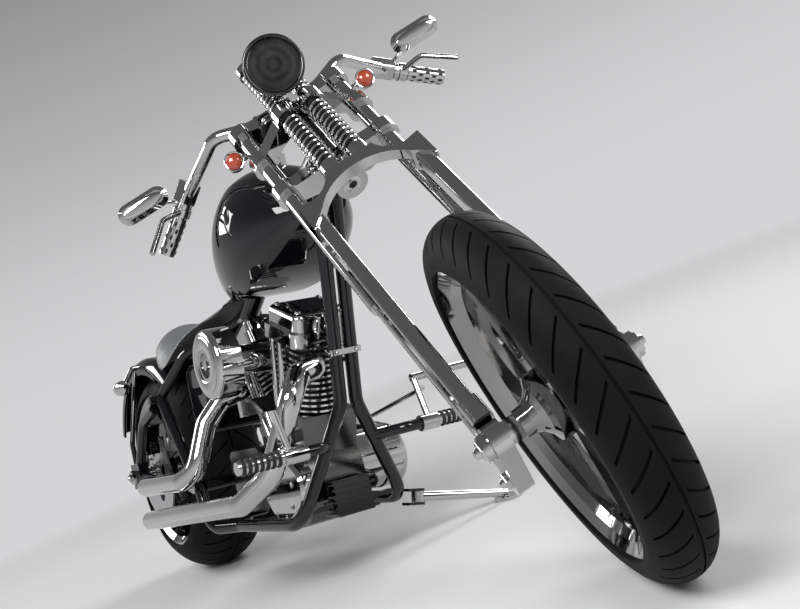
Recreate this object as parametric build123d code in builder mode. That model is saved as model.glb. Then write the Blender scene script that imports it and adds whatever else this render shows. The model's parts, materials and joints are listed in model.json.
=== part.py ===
"""Chopper motorcycle with a sprung girder fork, parked on its side stand, in millimetres.

The pieces are modelled on an upright bike with straight steering: X forward from the rear axle,
Y to the rider's left, Z up from the road. Fork pieces have their own frame on the steering axis.
At the end the fork is turned to its right-hand stop and the bike is leaned onto its stand.
"""

import math
import os

from build123d import *

# Stance
WHEELBASE = 1925.0
RAKE = 42.0
FORK_OFFSET = 101.0
STEER_TO_RIGHT = 33.0
LEAN = 12.0

# Wheels: outer radius, half width, radius of the rim's lip and half width of the rim
FRONT_TYRE_R, FRONT_TYRE_HALF, FRONT_LIP_R, FRONT_RIM_HALF = 343.0, 58.0, 276.0, 52.0
REAR_TYRE_R, REAR_TYRE_HALF, REAR_LIP_R, REAR_RIM_HALF = 325.0, 125.0, 237.0, 112.0
TYRE_WALL = 14.0
RIM_WALL = 9.0
RIM_DROP = 26.0
SPOKE_COUNT = 5
AXLE_R = 12.5
SEAT_GAP = 0.3
RUN_GAP = 0.08

# Steering head and fork, in the fork's frame: a forward, b to the left, c up the steering axis
LEG_A, LEG_B, LEG_R = 20.0, 124.0, 20.0
CLAMP_R = 31.0
CLAMP_LOW_C, CLAMP_MID_C, CLAMP_TOP_C = 840.0, 960.0, 1077.0
CLAMP_H = 34.0
LEG_TOP_C = CLAMP_TOP_C + 24.0
LEG_STEP_C, LEG_FOOT_C = 430.0, 30.0
LEG_SLIM_R = 14.0
NECK_LOW_C, NECK_TOP_C = 865.0, 1052.0
NECK_R, STEM_R = 31.0, 16.0
SPRING_LEG_A = FORK_OFFSET
SPRING_LEG_WIDE, SPRING_LEG_DEEP = 30.0, 46.0
CROWN_C, CROWN_DEEP, ARCH_DEEP = 655.0, 58.0, 26.0
SOCKET_HALF, SCOOP_B, SHOULDER_B = 20.0, 97.0, 57.0
SPRING_A, SPRING_B = 100.0, 32.0
SPRING_OUT_R, SPRING_WIRE_R = 24.0, 4.2
CUP_R, CUP_H = 25.0, 30.0
PERCH_C = 721.0
SPRING_TOP_C = 1172.0
HEAD_A, HEAD_C, HEAD_R = 205.0, 1002.0, 64.0

# Frame tubes
TUBE_R = 16.0
BACKBONE_R = 26.0
RAIL_Z, RAIL_Y = 152.0, 137.0
DOWN_Y = 20.5

# Engine
CRANK_X, CRANK_Z = 850.0, 240.0
CYLINDER_LEAN = 22.5
DECK, HEAD_BASE, BOX_BASE, BOX_TOP = 186.0, 300.0, 362.0, 440.0
FIN_R, BARREL_R = 68.0, 54.0
CASE_Y = 72.0
PIPE_R = 27.0

# Rear end
ARM_Y, ARM_R = 186.0, 15.0
UPRIGHT_Y = 170.0
FENDER_R, FENDER_WALL, FENDER_HALF = 348.0, 6.0, 134.0

rake = math.radians(RAKE)
AXIS_UP = Vector(-math.sin(rake), 0, math.cos(rake))
AXIS_FORWARD = Vector(math.cos(rake), 0, math.sin(rake))
FRONT_AXLE = Vector(WHEELBASE, 0, FRONT_TYRE_R)
REAR_AXLE = Vector(0, 0, REAR_TYRE_R)
AXIS_FOOT = FRONT_AXLE - AXIS_FORWARD * FORK_OFFSET
FORK_PLANE = Plane(origin=AXIS_FOOT, x_dir=AXIS_FORWARD, z_dir=AXIS_UP)
STEERED = FORK_PLANE.location * Rotation(0, 0, -STEER_TO_RIGHT)
FRONT_HUB = STEERED * Location((FORK_OFFSET, 0, 0))


def head_point(c, a=0.0):
    """Point of the steering head at height c up the axis and a ahead of it, in the bike's frame."""
    return AXIS_FOOT + AXIS_UP * c + AXIS_FORWARD * a


def turned(vector, location):
    """A direction after a location's rotation."""
    return (location * Location(vector)).position - location.position


def lowest(centre, axle, outer_r, crown_r):
    """Height of the lowest point of a tyre whose crown is a ring of radius crown_r."""
    return centre.Z - (outer_r - crown_r) * math.sqrt(1 - axle.Z**2) - crown_r


def stance():
    """Lean about X, then the small pitch and lift that put both tyres on the floor."""
    pitch = 0.0
    for _ in range(8):
        tilt = Rotation(0, pitch, 0) * Rotation(-LEAN, 0, 0)
        rear = lowest(turned(REAR_AXLE, tilt), turned((0, 1, 0), tilt), REAR_TYRE_R, REAR_TYRE_HALF)
        hub = tilt * FRONT_HUB
        axle = turned((0, 1, 0), hub)
        front = lowest(hub.position, axle, FRONT_TYRE_R, FRONT_TYRE_HALF)
        pitch += math.degrees(math.atan2(front - rear, WHEELBASE))
    return Location((0, 0, -rear)) * tilt


LEANED = stance()
FLOOR = Plane(LEANED.inverse() * Location((0, 0, 0)))


def bent_tube(points, bends, radius):
    """Adds a round tube along straight runs and tangent arcs to the part being built."""
    with BuildLine(mode=Mode.PRIVATE) as route:
        if len(points) == 2:
            Line(*points)
        else:
            FilletPolyline(*points, radius=bends)
    start = Plane(origin=route.line @ 0, z_dir=route.line % 0)
    with BuildSketch(start, mode=Mode.PRIVATE) as section:
        Circle(radius)
    sweep(section.sketch, path=route.wire())


def rod(start, end, radius):
    """Adds a straight round rod between two points to the part being built."""
    bent_tube([start, end], 0, radius)


def mirrored(points, side):
    """The points with their sideways coordinate multiplied by side."""
    return [(x, y * side, z) for x, y, z in points]


# Wheels, each about its own centre with the axle along Y
def tyre_ring(outer_r, half, lip_r):
    """Adds a tyre: a round crown down to the rim's lip, hollow over the rim."""
    ring_r = outer_r - half
    foot_r = lip_r + SEAT_GAP
    inner = half - TYRE_WALL
    drop = foot_r - ring_r
    out_y = math.sqrt(half**2 - drop**2)
    in_y = math.sqrt(inner**2 - drop**2)
    with BuildSketch(Plane.YZ) as section:
        with BuildLine():
            ThreePointArc((-out_y, foot_r), (0, outer_r), (out_y, foot_r))
            Line((out_y, foot_r), (in_y, foot_r))
            ThreePointArc((in_y, foot_r), (0, outer_r - TYRE_WALL), (-in_y, foot_r))
            Line((-in_y, foot_r), (-out_y, foot_r))
        make_face()
    revolve(section.sketch, axis=Axis.Y)


def rim_profile(lip_r, half):
    """Half of the rim's section, outside then inside, as (sideways, radial) points."""
    seat = half - TYRE_WALL + 4
    outside = [(half, lip_r), (seat, lip_r), (seat - 10, lip_r - 14), (half * 0.45, lip_r - RIM_DROP)]
    inside = [(half * 0.45, lip_r - RIM_DROP - RIM_WALL), (half - 14, lip_r - 24), (half, lip_r - 9)]
    return outside, inside


def rim_ring(lip_r, half):
    """Adds a drop-centre rim."""
    outside, inside = rim_profile(lip_r, half)
    flip = [(-y, z) for y, z in reversed(outside)]
    flip_inside = [(-y, z) for y, z in reversed(inside)]
    with BuildSketch(Plane.YZ) as section:
        Polygon(*outside, *flip, *flip_inside, *inside, align=None)
    revolve(section.sketch, axis=Axis.Y)


def spokes(inner_r, outer_r, root, tip, thick):
    """Adds a ring of tapered spokes of the given root and tip half widths."""
    with BuildSketch(Plane.XZ) as section:
        with PolarLocations(0, SPOKE_COUNT):
            Polygon((inner_r, -root), (outer_r, -tip), (outer_r, tip), (inner_r, root), align=None)
    extrude(section.sketch, amount=thick / 2, both=True)


def hub(profile, bore_r):
    """Adds a turned hub from (half length, radius) pairs, bored for the axle."""
    points = [(-y, r) for y, r in profile] + [(y, r) for y, r in reversed(profile)]
    end = profile[0][0]
    with BuildSketch(Plane.YZ) as section:
        Polygon((-end, bore_r), *points, (end, bore_r), align=None)
    revolve(section.sketch, axis=Axis.Y)


FRONT_HUB_HALF = 82.0
REAR_HUB_HALF = 148.0
HUB_BORE = AXLE_R + RUN_GAP
FRONT_BARREL_R = FRONT_LIP_R - RIM_DROP - RIM_WALL / 2
REAR_BARREL_R = REAR_LIP_R - RIM_DROP - RIM_WALL / 2

with BuildPart() as front_tyre:
    tyre_ring(FRONT_TYRE_R, FRONT_TYRE_HALF, FRONT_LIP_R)

with BuildPart() as front_wheel:
    rim_ring(FRONT_LIP_R, FRONT_RIM_HALF)
    spokes(40, FRONT_BARREL_R, 26, 15, 26)
    hub([(FRONT_HUB_HALF, 25), (64, 27), (52, 33), (42, 45), (36, 60), (18, 62)], HUB_BORE)

with BuildPart() as rear_tyre:
    tyre_ring(REAR_TYRE_R, REAR_TYRE_HALF, REAR_LIP_R)

with BuildPart() as rear_wheel:
    rim_ring(REAR_LIP_R, REAR_RIM_HALF)
    spokes(48, REAR_BARREL_R, 30, 18, 40)
    hub([(REAR_HUB_HALF, 30), (118, 30), (80, 36), (50, 58), (26, 66)], HUB_BORE)

DISC_R, DISC_THICK = 146.0, 5.0
DISC_GAP = 5.5
FRONT_DISC_Y = 70.0
REAR_DISC_Y = -138.0
PULLEY_R, PULLEY_Y, BELT_WIDE = 108.0, 141.0, 22.0


def disc(y, hub_r):
    """Adds a brake disc around the hub at a sideways station, in a thin carrier."""
    with BuildSketch(Plane.XZ.offset(-y)) as section:
        Circle(DISC_R)
        Circle(hub_r + SEAT_GAP, mode=Mode.SUBTRACT)
        with PolarLocations(DISC_R * 0.5, 5):
            Circle(22, mode=Mode.SUBTRACT)
    extrude(section.sketch, amount=DISC_THICK / 2, both=True)


with BuildPart() as front_disc:
    disc(FRONT_DISC_Y, 28.4)

with BuildPart() as rear_disc:
    disc(REAR_DISC_Y, 30.0)

with BuildPart() as rear_pulley:
    with BuildSketch(Plane.XZ.offset(-PULLEY_Y)):
        Circle(PULLEY_R)
        Circle(30 + SEAT_GAP, mode=Mode.SUBTRACT)
        with PolarLocations(66, 5):
            Circle(20, mode=Mode.SUBTRACT)
    extrude(amount=BELT_WIDE / 2 - 1, both=True)

# Fork pieces, in the fork's frame
with BuildPart() as fork_legs:
    for side in (1, -1):
        rod((LEG_A, LEG_B * side, LEG_STEP_C), (LEG_A, LEG_B * side, LEG_TOP_C), LEG_R)
        rod((LEG_A, LEG_B * side, LEG_STEP_C), (LEG_A, LEG_B * side, LEG_FOOT_C), LEG_SLIM_R)
        with Locations((LEG_A, LEG_B * side, LEG_TOP_C)):
            Cone(LEG_R, LEG_R - 10, 9, align=(Align.CENTER, Align.CENTER, Align.MIN))


def clamp_plate(c, middle, waist):
    """Adds a plate that clamps both legs, waisted in the middle."""
    with BuildSketch(Plane.XY.offset(c - CLAMP_H / 2)) as section:
        with Locations((LEG_A, LEG_B), (LEG_A, -LEG_B)):
            Circle(CLAMP_R)
        with BuildLine():
            Polyline(
                (LEG_A + 22, LEG_B), (middle + waist, 0), (LEG_A + 22, -LEG_B),
                (LEG_A - 22, -LEG_B), (middle - waist, 0), (LEG_A - 22, LEG_B), close=True,
            )
        make_face()
        with Locations((LEG_A, LEG_B), (LEG_A, -LEG_B)):
            Circle(LEG_R + SEAT_GAP, mode=Mode.SUBTRACT)
    extrude(section.sketch, amount=CLAMP_H)


with BuildPart() as lower_tree:
    clamp_plate(CLAMP_LOW_C, 8, 36)
    with Locations((0, 0, CLAMP_LOW_C - 62)):
        Cone(38, 44, 45, align=(Align.CENTER, Align.CENTER, Align.MIN))
    with Locations((0, 0, CLAMP_LOW_C)):
        Cylinder(STEM_R, CLAMP_TOP_C - CLAMP_LOW_C - CLAMP_H / 2,
                 align=(Align.CENTER, Align.CENTER, Align.MIN))

with BuildPart() as upper_tree:
    clamp_plate(CLAMP_TOP_C, 2, 30)
    with Locations((0, 0, CLAMP_TOP_C + CLAMP_H / 2)):
        Cylinder(22, 12, align=(Align.CENTER, Align.CENTER, Align.MIN))

with BuildPart() as spring_bridge:
    with BuildSketch(Plane.XY.offset(CLAMP_MID_C - CLAMP_H / 2)):
        with Locations((LEG_A, LEG_B), (LEG_A, -LEG_B)):
            Circle(CLAMP_R)
        with BuildLine():
            Polyline(
                (LEG_A + 26, LEG_B), (SPRING_A + SPRING_OUT_R, SPRING_B),
                (SPRING_A + SPRING_OUT_R, -SPRING_B),
                (LEG_A + 26, -LEG_B), (LEG_A - 6, -LEG_B), (SPRING_A - 34, -SPRING_B - 6),
                (SPRING_A - 34, SPRING_B + 6), (LEG_A - 6, LEG_B), close=True,
            )
        make_face()
        with Locations((SPRING_A, SPRING_B), (SPRING_A, -SPRING_B)):
            Circle(SPRING_OUT_R + 6)
        with Locations((LEG_A, LEG_B), (LEG_A, -LEG_B)):
            Circle(LEG_R + SEAT_GAP, mode=Mode.SUBTRACT)
        with Locations((SPRING_A, SPRING_B), (SPRING_A, -SPRING_B)):
            Circle(11, mode=Mode.SUBTRACT)
    extrude(amount=CLAMP_H)

with BuildPart() as spring_fork:
    for side in (1, -1):
        with BuildSketch(Plane((SPRING_LEG_A, LEG_B * side, CROWN_C - 20), z_dir=(0, 0, -1))):
            RectangleRounded(SPRING_LEG_DEEP, SPRING_LEG_WIDE, 8)
        extrude(amount=CROWN_C - 20 - 34)
    horn, scoop = (LEG_B + SOCKET_HALF, CROWN_C + 16), (SCOOP_B, CROWN_C + 13)
    shoulder, heel = (SHOULDER_B, PERCH_C - 6), (LEG_B - SOCKET_HALF, CROWN_C - 22)
    with BuildSketch(Plane.YZ.offset(SPRING_LEG_A + CROWN_DEEP / 2 - ARCH_DEEP)):
        with BuildLine():
            left = ThreePointArc(horn, scoop, shoulder)
            right = ThreePointArc((-shoulder[0], shoulder[1]), (-scoop[0], scoop[1]), (-horn[0], horn[1]))
            Line(left @ 1, right @ 0)
            Line(right @ 1, (-heel[0], heel[1]))
            ThreePointArc((-heel[0], heel[1]), (0, CROWN_C + 32), heel)
            Line(heel, left @ 0)
        make_face()
    extrude(amount=ARCH_DEEP)
    for side in (1, -1):
        with BuildSketch(Plane.YZ.offset(SPRING_LEG_A - CROWN_DEEP / 2)):
            with BuildLine():
                Polyline(
                    (horn[0] * side, horn[1]), (horn[0] * side, CROWN_C - 62), (heel[0] * side, heel[1]),
                    (heel[0] * side, CROWN_C + 8), close=True,
                )
            make_face()
        extrude(amount=CROWN_DEEP)
        with BuildSketch(Plane((SPRING_LEG_A, LEG_B * side, 82), z_dir=(0, 0, -1))):
            RectangleRounded(SPRING_LEG_DEEP + 12, SPRING_LEG_WIDE + 10, 12)
        extrude(amount=82 - 34)
        with Locations((SPRING_A, SPRING_B * side, PERCH_C - 14)):
            Cylinder(CUP_R, CUP_H + 14, align=(Align.CENTER, Align.CENTER, Align.MIN))
    for side in (1, -1):
        rod((SPRING_A, SPRING_B * side, PERCH_C - 20), (SPRING_A, SPRING_B * side, SPRING_TOP_C), 9)

COILS = [(PERCH_C + CUP_H + SEAT_GAP, CLAMP_MID_C - CLAMP_H / 2 - 1),
         (CLAMP_MID_C + CLAMP_H / 2 + 1, SPRING_TOP_C - 14)]
COIL_PITCH = 17.5

with BuildPart() as springs:
    for low, high in COILS:
        turns = round((high - low) / COIL_PITCH)
        pitch = (high - low) / turns
        for side in (1, -1):
            with BuildSketch(Plane.XZ.offset(-SPRING_B * side)):
                with Locations((SPRING_A + 9 + SEAT_GAP, low)):
                    Rectangle(SPRING_OUT_R - 2 * SPRING_WIRE_R - 6, high - low, align=(Align.MIN, Align.MIN))
                with Locations(*[
                    (SPRING_A + SPRING_OUT_R - SPRING_WIRE_R, low + pitch * (n + 0.5)) for n in range(turns)
                ]):
                    Ellipse(SPRING_WIRE_R + 1.5, SPRING_WIRE_R)
            revolve(axis=Axis((SPRING_A, SPRING_B * side, 0), (0, 0, 1)))

with BuildPart() as spring_caps:
    for side in (1, -1):
        with Locations((SPRING_A, SPRING_B * side, SPRING_TOP_C - 13)):
            Cylinder(SPRING_OUT_R + 1, 20, align=(Align.CENTER, Align.CENTER, Align.MIN))
            Cylinder(9 + SEAT_GAP, 40, mode=Mode.SUBTRACT)

with BuildPart() as rockers:
    for side in (1, -1):
        with BuildSketch(Plane.XZ.offset(-(LEG_B + 16) * side)):
            with Locations((LEG_A, -26)):
                Circle(30)
            with Locations((FORK_OFFSET, 0)):
                Circle(32)
            make_hull()
        extrude(amount=32 * side)
        rod((LEG_A, LEG_B * side, -26), (LEG_A, LEG_B * side, LEG_FOOT_C - SEAT_GAP), 16)
    with Locations(Location((FORK_OFFSET, 0, 0), (90, 0, 0))):
        Cylinder(AXLE_R + SEAT_GAP, 600, mode=Mode.SUBTRACT)

AXLE_NUT_R, AXLE_NUT_LONG = 24.0, 13.0
FRONT_AXLE_LONG = 2 * (LEG_B + 16 + SEAT_GAP + AXLE_NUT_LONG)
with BuildPart() as front_axle:
    with Locations(Location((FORK_OFFSET, 0, 0), (90, 0, 0))):
        Cylinder(AXLE_R, FRONT_AXLE_LONG)
    for side in (1, -1):
        with Locations(Location((FORK_OFFSET, (FRONT_AXLE_LONG - AXLE_NUT_LONG) / 2 * side, 0), (90, 0, 0))):
            Cylinder(AXLE_NUT_R, AXLE_NUT_LONG)
    for side in (1, -1):
        span = LEG_B - 16 - FRONT_HUB_HALF
        with Locations(Location((FORK_OFFSET, (FRONT_HUB_HALF + span / 2) * side, 0), (90, 0, 0))):
            Cylinder(22, span - 2 * SEAT_GAP)

with BuildPart() as front_caliper:
    with BuildSketch(Plane.XZ.offset(-FRONT_DISC_Y)):
        with Locations((FORK_OFFSET - 118, 70)):
            RectangleRounded(62, 96, 16)
    extrude(amount=26, both=True)
    with BuildSketch(Plane.XZ.offset(-FRONT_DISC_Y)):
        with Locations((FORK_OFFSET, 0)):
            Circle(DISC_R + 6)
    extrude(amount=DISC_THICK / 2 + DISC_GAP, both=True, mode=Mode.SUBTRACT)
    rod((LEG_A - 8, FRONT_DISC_Y + 20, 92), (LEG_A - 8, LEG_B - LEG_SLIM_R - SEAT_GAP, 92), 11)

HEAD_AXIS = Vector(math.cos(rake), 0, -math.sin(rake))
HEAD_PLANE = Plane(origin=(HEAD_A, 0, HEAD_C), x_dir=(0, 1, 0), z_dir=HEAD_AXIS)
with BuildPart() as headlight:
    with BuildSketch(HEAD_PLANE):
        Circle(HEAD_R)
    extrude(amount=-28)
    with BuildSketch(HEAD_PLANE.offset(-28)):
        Circle(HEAD_R - 4)
    with BuildSketch(HEAD_PLANE.offset(-92)):
        Circle(24)
    loft()
    with BuildSketch(HEAD_PLANE.offset(-6)):
        Circle(HEAD_R - 6)
    extrude(amount=20, mode=Mode.SUBTRACT)
    bent_tube([(SPRING_A + 30 + SEAT_GAP, 0, CLAMP_MID_C), (SPRING_A + 45, 0, CLAMP_MID_C),
               (SPRING_A + 54, 0, HEAD_C + 26)], 11, 11)

with BuildPart() as headlight_lens:
    with BuildSketch(HEAD_PLANE.offset(-6 + SEAT_GAP)):
        Circle(HEAD_R - 6.3)
    extrude(amount=5)

BAR_R = 15.875
BAR_HALF = [(-4, 0, 1126), (-4, 96, 1126), (-2, 178, 1166), (-164, 296, 1241), (-246, 416, 1198)]
GRIP_LONG = 100.0
GRIP_OUT = Vector(*BAR_HALF[-1])
GRIP_WAY = (GRIP_OUT - Vector(*BAR_HALF[-2])).normalized()
PERCH_BACK, MIRROR_BACK, HOUSING_BACK = 92.0, 113.0, 127.0
HOUSING_LONG, HOUSING_WIDE, HOUSING_TALL = 52.0, 44.0, 50.0


def bar_plane(side, back):
    """Plane across a handlebar end, back from its tip, with its X axis up."""
    way = Vector(GRIP_WAY.X, GRIP_WAY.Y * side, GRIP_WAY.Z)
    tip = Vector(GRIP_OUT.X, GRIP_OUT.Y * side, GRIP_OUT.Z)
    return Plane(tip - way * back, x_dir=Vector(0, 0, 1) - way * way.Z, z_dir=way)


with BuildPart() as handlebar:
    for side in (1, -1):
        with BuildSketch(bar_plane(side, HOUSING_BACK)):
            with Locations((8, 0)):
                RectangleRounded(HOUSING_TALL, HOUSING_WIDE, 9)
        extrude(amount=-HOUSING_LONG)
    for side in (1, -1):
        bent_tube(mirrored(BAR_HALF, side), [60, 55, 40], BAR_R)
    for side in (1, -1):
        rod((-4, 70 * side, CLAMP_TOP_C + CLAMP_H / 2), (-4, 70 * side, 1126), 17)

with BuildPart() as grips:
    for side in (1, -1):
        with BuildSketch(bar_plane(side, -12)):
            Circle(20)
        extrude(amount=-GRIP_LONG)
        with BuildSketch(bar_plane(side, -SEAT_GAP)):
            Circle(BAR_R + SEAT_GAP)
        extrude(amount=-GRIP_LONG, mode=Mode.SUBTRACT)

LEVER_TIP = (-146, 449, 1104)
with BuildPart() as levers:
    for side in (1, -1):
        perch = bar_plane(side, PERCH_BACK)
        with BuildSketch(perch):
            Circle(24)
            Circle(BAR_R + SEAT_GAP, mode=Mode.SUBTRACT)
        extrude(amount=-20)
        root = perch.offset(-8).origin + Vector(17, 4 * side, -13)
        elbow = root + Vector(34, 44 * side, -32)
        bent_tube([root, elbow, Vector(LEVER_TIP[0], LEVER_TIP[1] * side, LEVER_TIP[2])], 30, 7)

MIRROR = (-112, 404, 1232)
MIRROR_LONG, MIRROR_TALL, MIRROR_DEEP, MIRROR_TAPER = 134.0, 54.0, 14.0, 38.0
REARWARD = Vector(-math.cos(rake), 0, math.sin(rake))
with BuildPart() as mirrors:
    for side in (1, -1):
        centre = Vector(MIRROR[0], MIRROR[1] * side, MIRROR[2])
        face = Plane(centre, x_dir=(0, 1, 0), z_dir=REARWARD)
        with BuildSketch(face):
            SlotOverall(MIRROR_LONG, MIRROR_TALL)
        extrude(amount=8)
        with BuildSketch(face):
            SlotOverall(MIRROR_LONG, MIRROR_TALL)
        extrude(amount=-MIRROR_DEEP, taper=MIRROR_TAPER)
        clamp = bar_plane(side, MIRROR_BACK)
        foot = clamp.offset(-6)
        bent_tube([foot.origin + foot.x_dir * 18, foot.origin + foot.x_dir * 44, centre], 14, 4.5)
        with BuildSketch(clamp):
            Circle(21)
            Circle(BAR_R + SEAT_GAP, mode=Mode.SUBTRACT)
        extrude(amount=-12)

SIGNAL = (LEG_A, 176, 1021)
with BuildPart() as front_signals:
    for side in (1, -1):
        base = Plane((SIGNAL[0], SIGNAL[1] * side, SIGNAL[2]), x_dir=(0, 1, 0), z_dir=REARWARD)
        with BuildSketch(base.offset(-26)):
            Circle(22)
        extrude(amount=26)
        with BuildSketch(base):
            Circle(22)
        with BuildSketch(base.offset(34)):
            Circle(9)
        loft()
        rod((LEG_A, (LEG_B + LEG_R + SEAT_GAP) * side, SIGNAL[2]),
            (LEG_A, SIGNAL[1] * side, SIGNAL[2]), 8)

# Frame and swingarm, in the bike's frame
SIDE_LOOP = [(1230, DOWN_Y, 955), (1090, DOWN_Y, 400), (1003, RAIL_Y, RAIL_Z), (620, RAIL_Y, RAIL_Z),
             (490, UPRIGHT_Y, RAIL_Z), (460, UPRIGHT_Y, 262), (285, UPRIGHT_Y, 538)]
SEAT_RAIL = [(640, 0, 690), (430, 125, 632), (270, UPRIGHT_Y, 528)]
BACKBONE = [(1231, 0, 963), (820, 0, 790), (640, 0, 690), (395, 0, 640)]
PEG_X, PEG_Z, PEG_ROOT_Y = 1132.0, 315.0, 150.0
PEG_R, PEG_LONG, LEFT_PEG_Y, RIGHT_PEG_Y = 15.0, 110.0, 196.0, -206.0
PIVOT_X, PIVOT_Z, PIVOT_R = 455.0, 268.0, 17.0
JOINT_X, JOINT_Z = 283.0, 532.0
CRADLE = [(700, 162.7), (560, 162.7)]
NECK_PLANE = Plane(origin=head_point(NECK_LOW_C), x_dir=AXIS_FORWARD, z_dir=AXIS_UP)

with BuildPart() as frame:
    with BuildSketch(NECK_PLANE):
        Circle(NECK_R)
    extrude(amount=NECK_TOP_C - NECK_LOW_C)
    bent_tube(BACKBONE, [160, 160], BACKBONE_R)
    for side in (1, -1):
        bent_tube(mirrored(SIDE_LOOP, side), [70, 80, 90, 55, 60], TUBE_R)
        bent_tube(mirrored(SEAT_RAIL, side), 70, TUBE_R - 2)
        lug = [(1058, 61, 312), (PEG_X, 112, PEG_Z), (PEG_X, PEG_ROOT_Y, PEG_Z)]
        bent_tube(mirrored(lug, side), 18, 13)
        rod((JOINT_X, (UPRIGHT_Y - 4) * side, JOINT_Z), (JOINT_X, (UPRIGHT_Y + 34) * side, JOINT_Z), 13)
    for x, z in CRADLE:
        rod((x, -RAIL_Y, z), (x, RAIL_Y, z), 12)
    with BuildSketch(NECK_PLANE.offset(-40)):
        Circle(STEM_R + RUN_GAP)
    extrude(amount=NECK_TOP_C - NECK_LOW_C + 80, mode=Mode.SUBTRACT)

PLATE_THICK, PLATE_HALF = 31.0, 38.0
with BuildPart() as swingarm:
    rod((PIVOT_X, -UPRIGHT_Y + TUBE_R + SEAT_GAP, PIVOT_Z),
        (PIVOT_X, UPRIGHT_Y - TUBE_R - SEAT_GAP, PIVOT_Z), PIVOT_R)
    for side in (1, -1):
        lower = [(PIVOT_X, 104, PIVOT_Z), (330, ARM_Y, 285), (0, ARM_Y, REAR_TYRE_R)]
        bent_tube(mirrored(lower, side), 90, ARM_R)
        upper = [(261, ARM_Y, 508), (130, ARM_Y, 480), (6, ARM_Y, REAR_TYRE_R + 20)]
        bent_tube(mirrored(upper, side), 90, ARM_R)
        with Locations((0, ARM_Y * side, REAR_TYRE_R)):
            Box(78, PLATE_THICK, 2 * PLATE_HALF)
    with Locations(Location(REAR_AXLE, (90, 0, 0))):
        Cylinder(AXLE_R + SEAT_GAP, 600, mode=Mode.SUBTRACT)

PLATE_IN = ARM_Y - PLATE_THICK / 2
PLATE_OUT = ARM_Y + PLATE_THICK / 2
REAR_AXLE_LONG = 2 * PLATE_OUT + 40
with BuildPart() as rear_axle:
    with Locations(Location(REAR_AXLE, (90, 0, 0))):
        Cylinder(AXLE_R, REAR_AXLE_LONG)
    span = PLATE_IN - REAR_HUB_HALF
    for side in (1, -1):
        with Locations(Location((0, (REAR_HUB_HALF + span / 2) * side, REAR_TYRE_R), (90, 0, 0))):
            Cylinder(22, span - 2 * SEAT_GAP)
        with Locations(Location((0, (PLATE_OUT + SEAT_GAP + 8) * side, REAR_TYRE_R), (90, 0, 0))):
            Cylinder(21, 16)

SPROCKET_X, SPROCKET_Z, SPROCKET_R = 572.0, 272.0, 44.0
BELT_THICK = 6.0
with BuildPart() as drive_belt:
    with BuildSketch(Plane.XZ.offset(-PULLEY_Y)):
        for gap, mode in ((SEAT_GAP + BELT_THICK, Mode.ADD), (SEAT_GAP, Mode.SUBTRACT)):
            with BuildSketch(mode=mode):
                with Locations((0, REAR_TYRE_R)):
                    Circle(PULLEY_R + gap)
                with Locations((SPROCKET_X, SPROCKET_Z)):
                    Circle(SPROCKET_R + gap)
                make_hull()
    extrude(amount=BELT_WIDE / 2, both=True)

with BuildPart() as rear_caliper:
    with Locations((82, -(ARM_Y - ARM_R - SEAT_GAP - 25), REAR_TYRE_R + 98)):
        Box(58, 50, 84)
    with BuildSketch(Plane.XZ.offset(-REAR_DISC_Y)):
        with Locations((0, REAR_TYRE_R)):
            Circle(DISC_R + 6)
    extrude(amount=DISC_THICK / 2 + DISC_GAP, both=True, mode=Mode.SUBTRACT)

FENDER_FROM, FENDER_TO = 155.0, 50.0
fender_start = math.radians(FENDER_FROM)
FENDER_PLANE = Plane(origin=REAR_AXLE, x_dir=(0, 1, 0),
                     z_dir=(math.sin(fender_start), 0, -math.cos(fender_start)))
FENDER_SKIRT_R = 306.0
FENDER_OUT_R = FENDER_R + FENDER_WALL
with BuildPart() as rear_fender:
    with BuildSketch(FENDER_PLANE):
        for wall, mode in ((0.0, Mode.ADD), (FENDER_WALL, Mode.SUBTRACT)):
            half = FENDER_HALF - wall
            with BuildLine():
                arch = FilletPolyline((-half, FENDER_SKIRT_R), (-half, FENDER_OUT_R - wall),
                                      (half, FENDER_OUT_R - wall), (half, FENDER_SKIRT_R), radius=36 - wall)
                Line(arch @ 1, arch @ 0)
            make_face(mode=mode)
    revolve(axis=Axis(REAR_AXLE, (0, 1, 0)), revolution_arc=FENDER_FROM - FENDER_TO)
    for side in (1, -1):
        strut = [(-26, ARM_Y, REAR_TYRE_R + PLATE_HALF + SEAT_GAP), (-26, ARM_Y, REAR_TYRE_R + 100),
                 (-30, FENDER_HALF - 3, REAR_TYRE_R + 320)]
        bent_tube(mirrored(strut, side), 60, 8)

SIGNAL_X, SIGNAL_Y, SIGNAL_Z = 30.0, 196.0, 600.0
with BuildPart() as rear_signals:
    for side in (1, -1):
        base = Plane((SIGNAL_X, SIGNAL_Y * side, SIGNAL_Z), x_dir=(0, 1, 0), z_dir=(1, 0, 0))
        with BuildSketch(base.offset(-26)):
            Circle(23)
        extrude(amount=26)
        with BuildSketch(base):
            Circle(23)
        with BuildSketch(base.offset(36)):
            Circle(9)
        loft()
        stalk = [(SIGNAL_X, FENDER_HALF + SEAT_GAP, SIGNAL_Z + 54),
                 (SIGNAL_X, FENDER_HALF + 22, SIGNAL_Z + 54), (SIGNAL_X, SIGNAL_Y, SIGNAL_Z)]
        bent_tube(mirrored(stalk, side), 12, 8)

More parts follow.
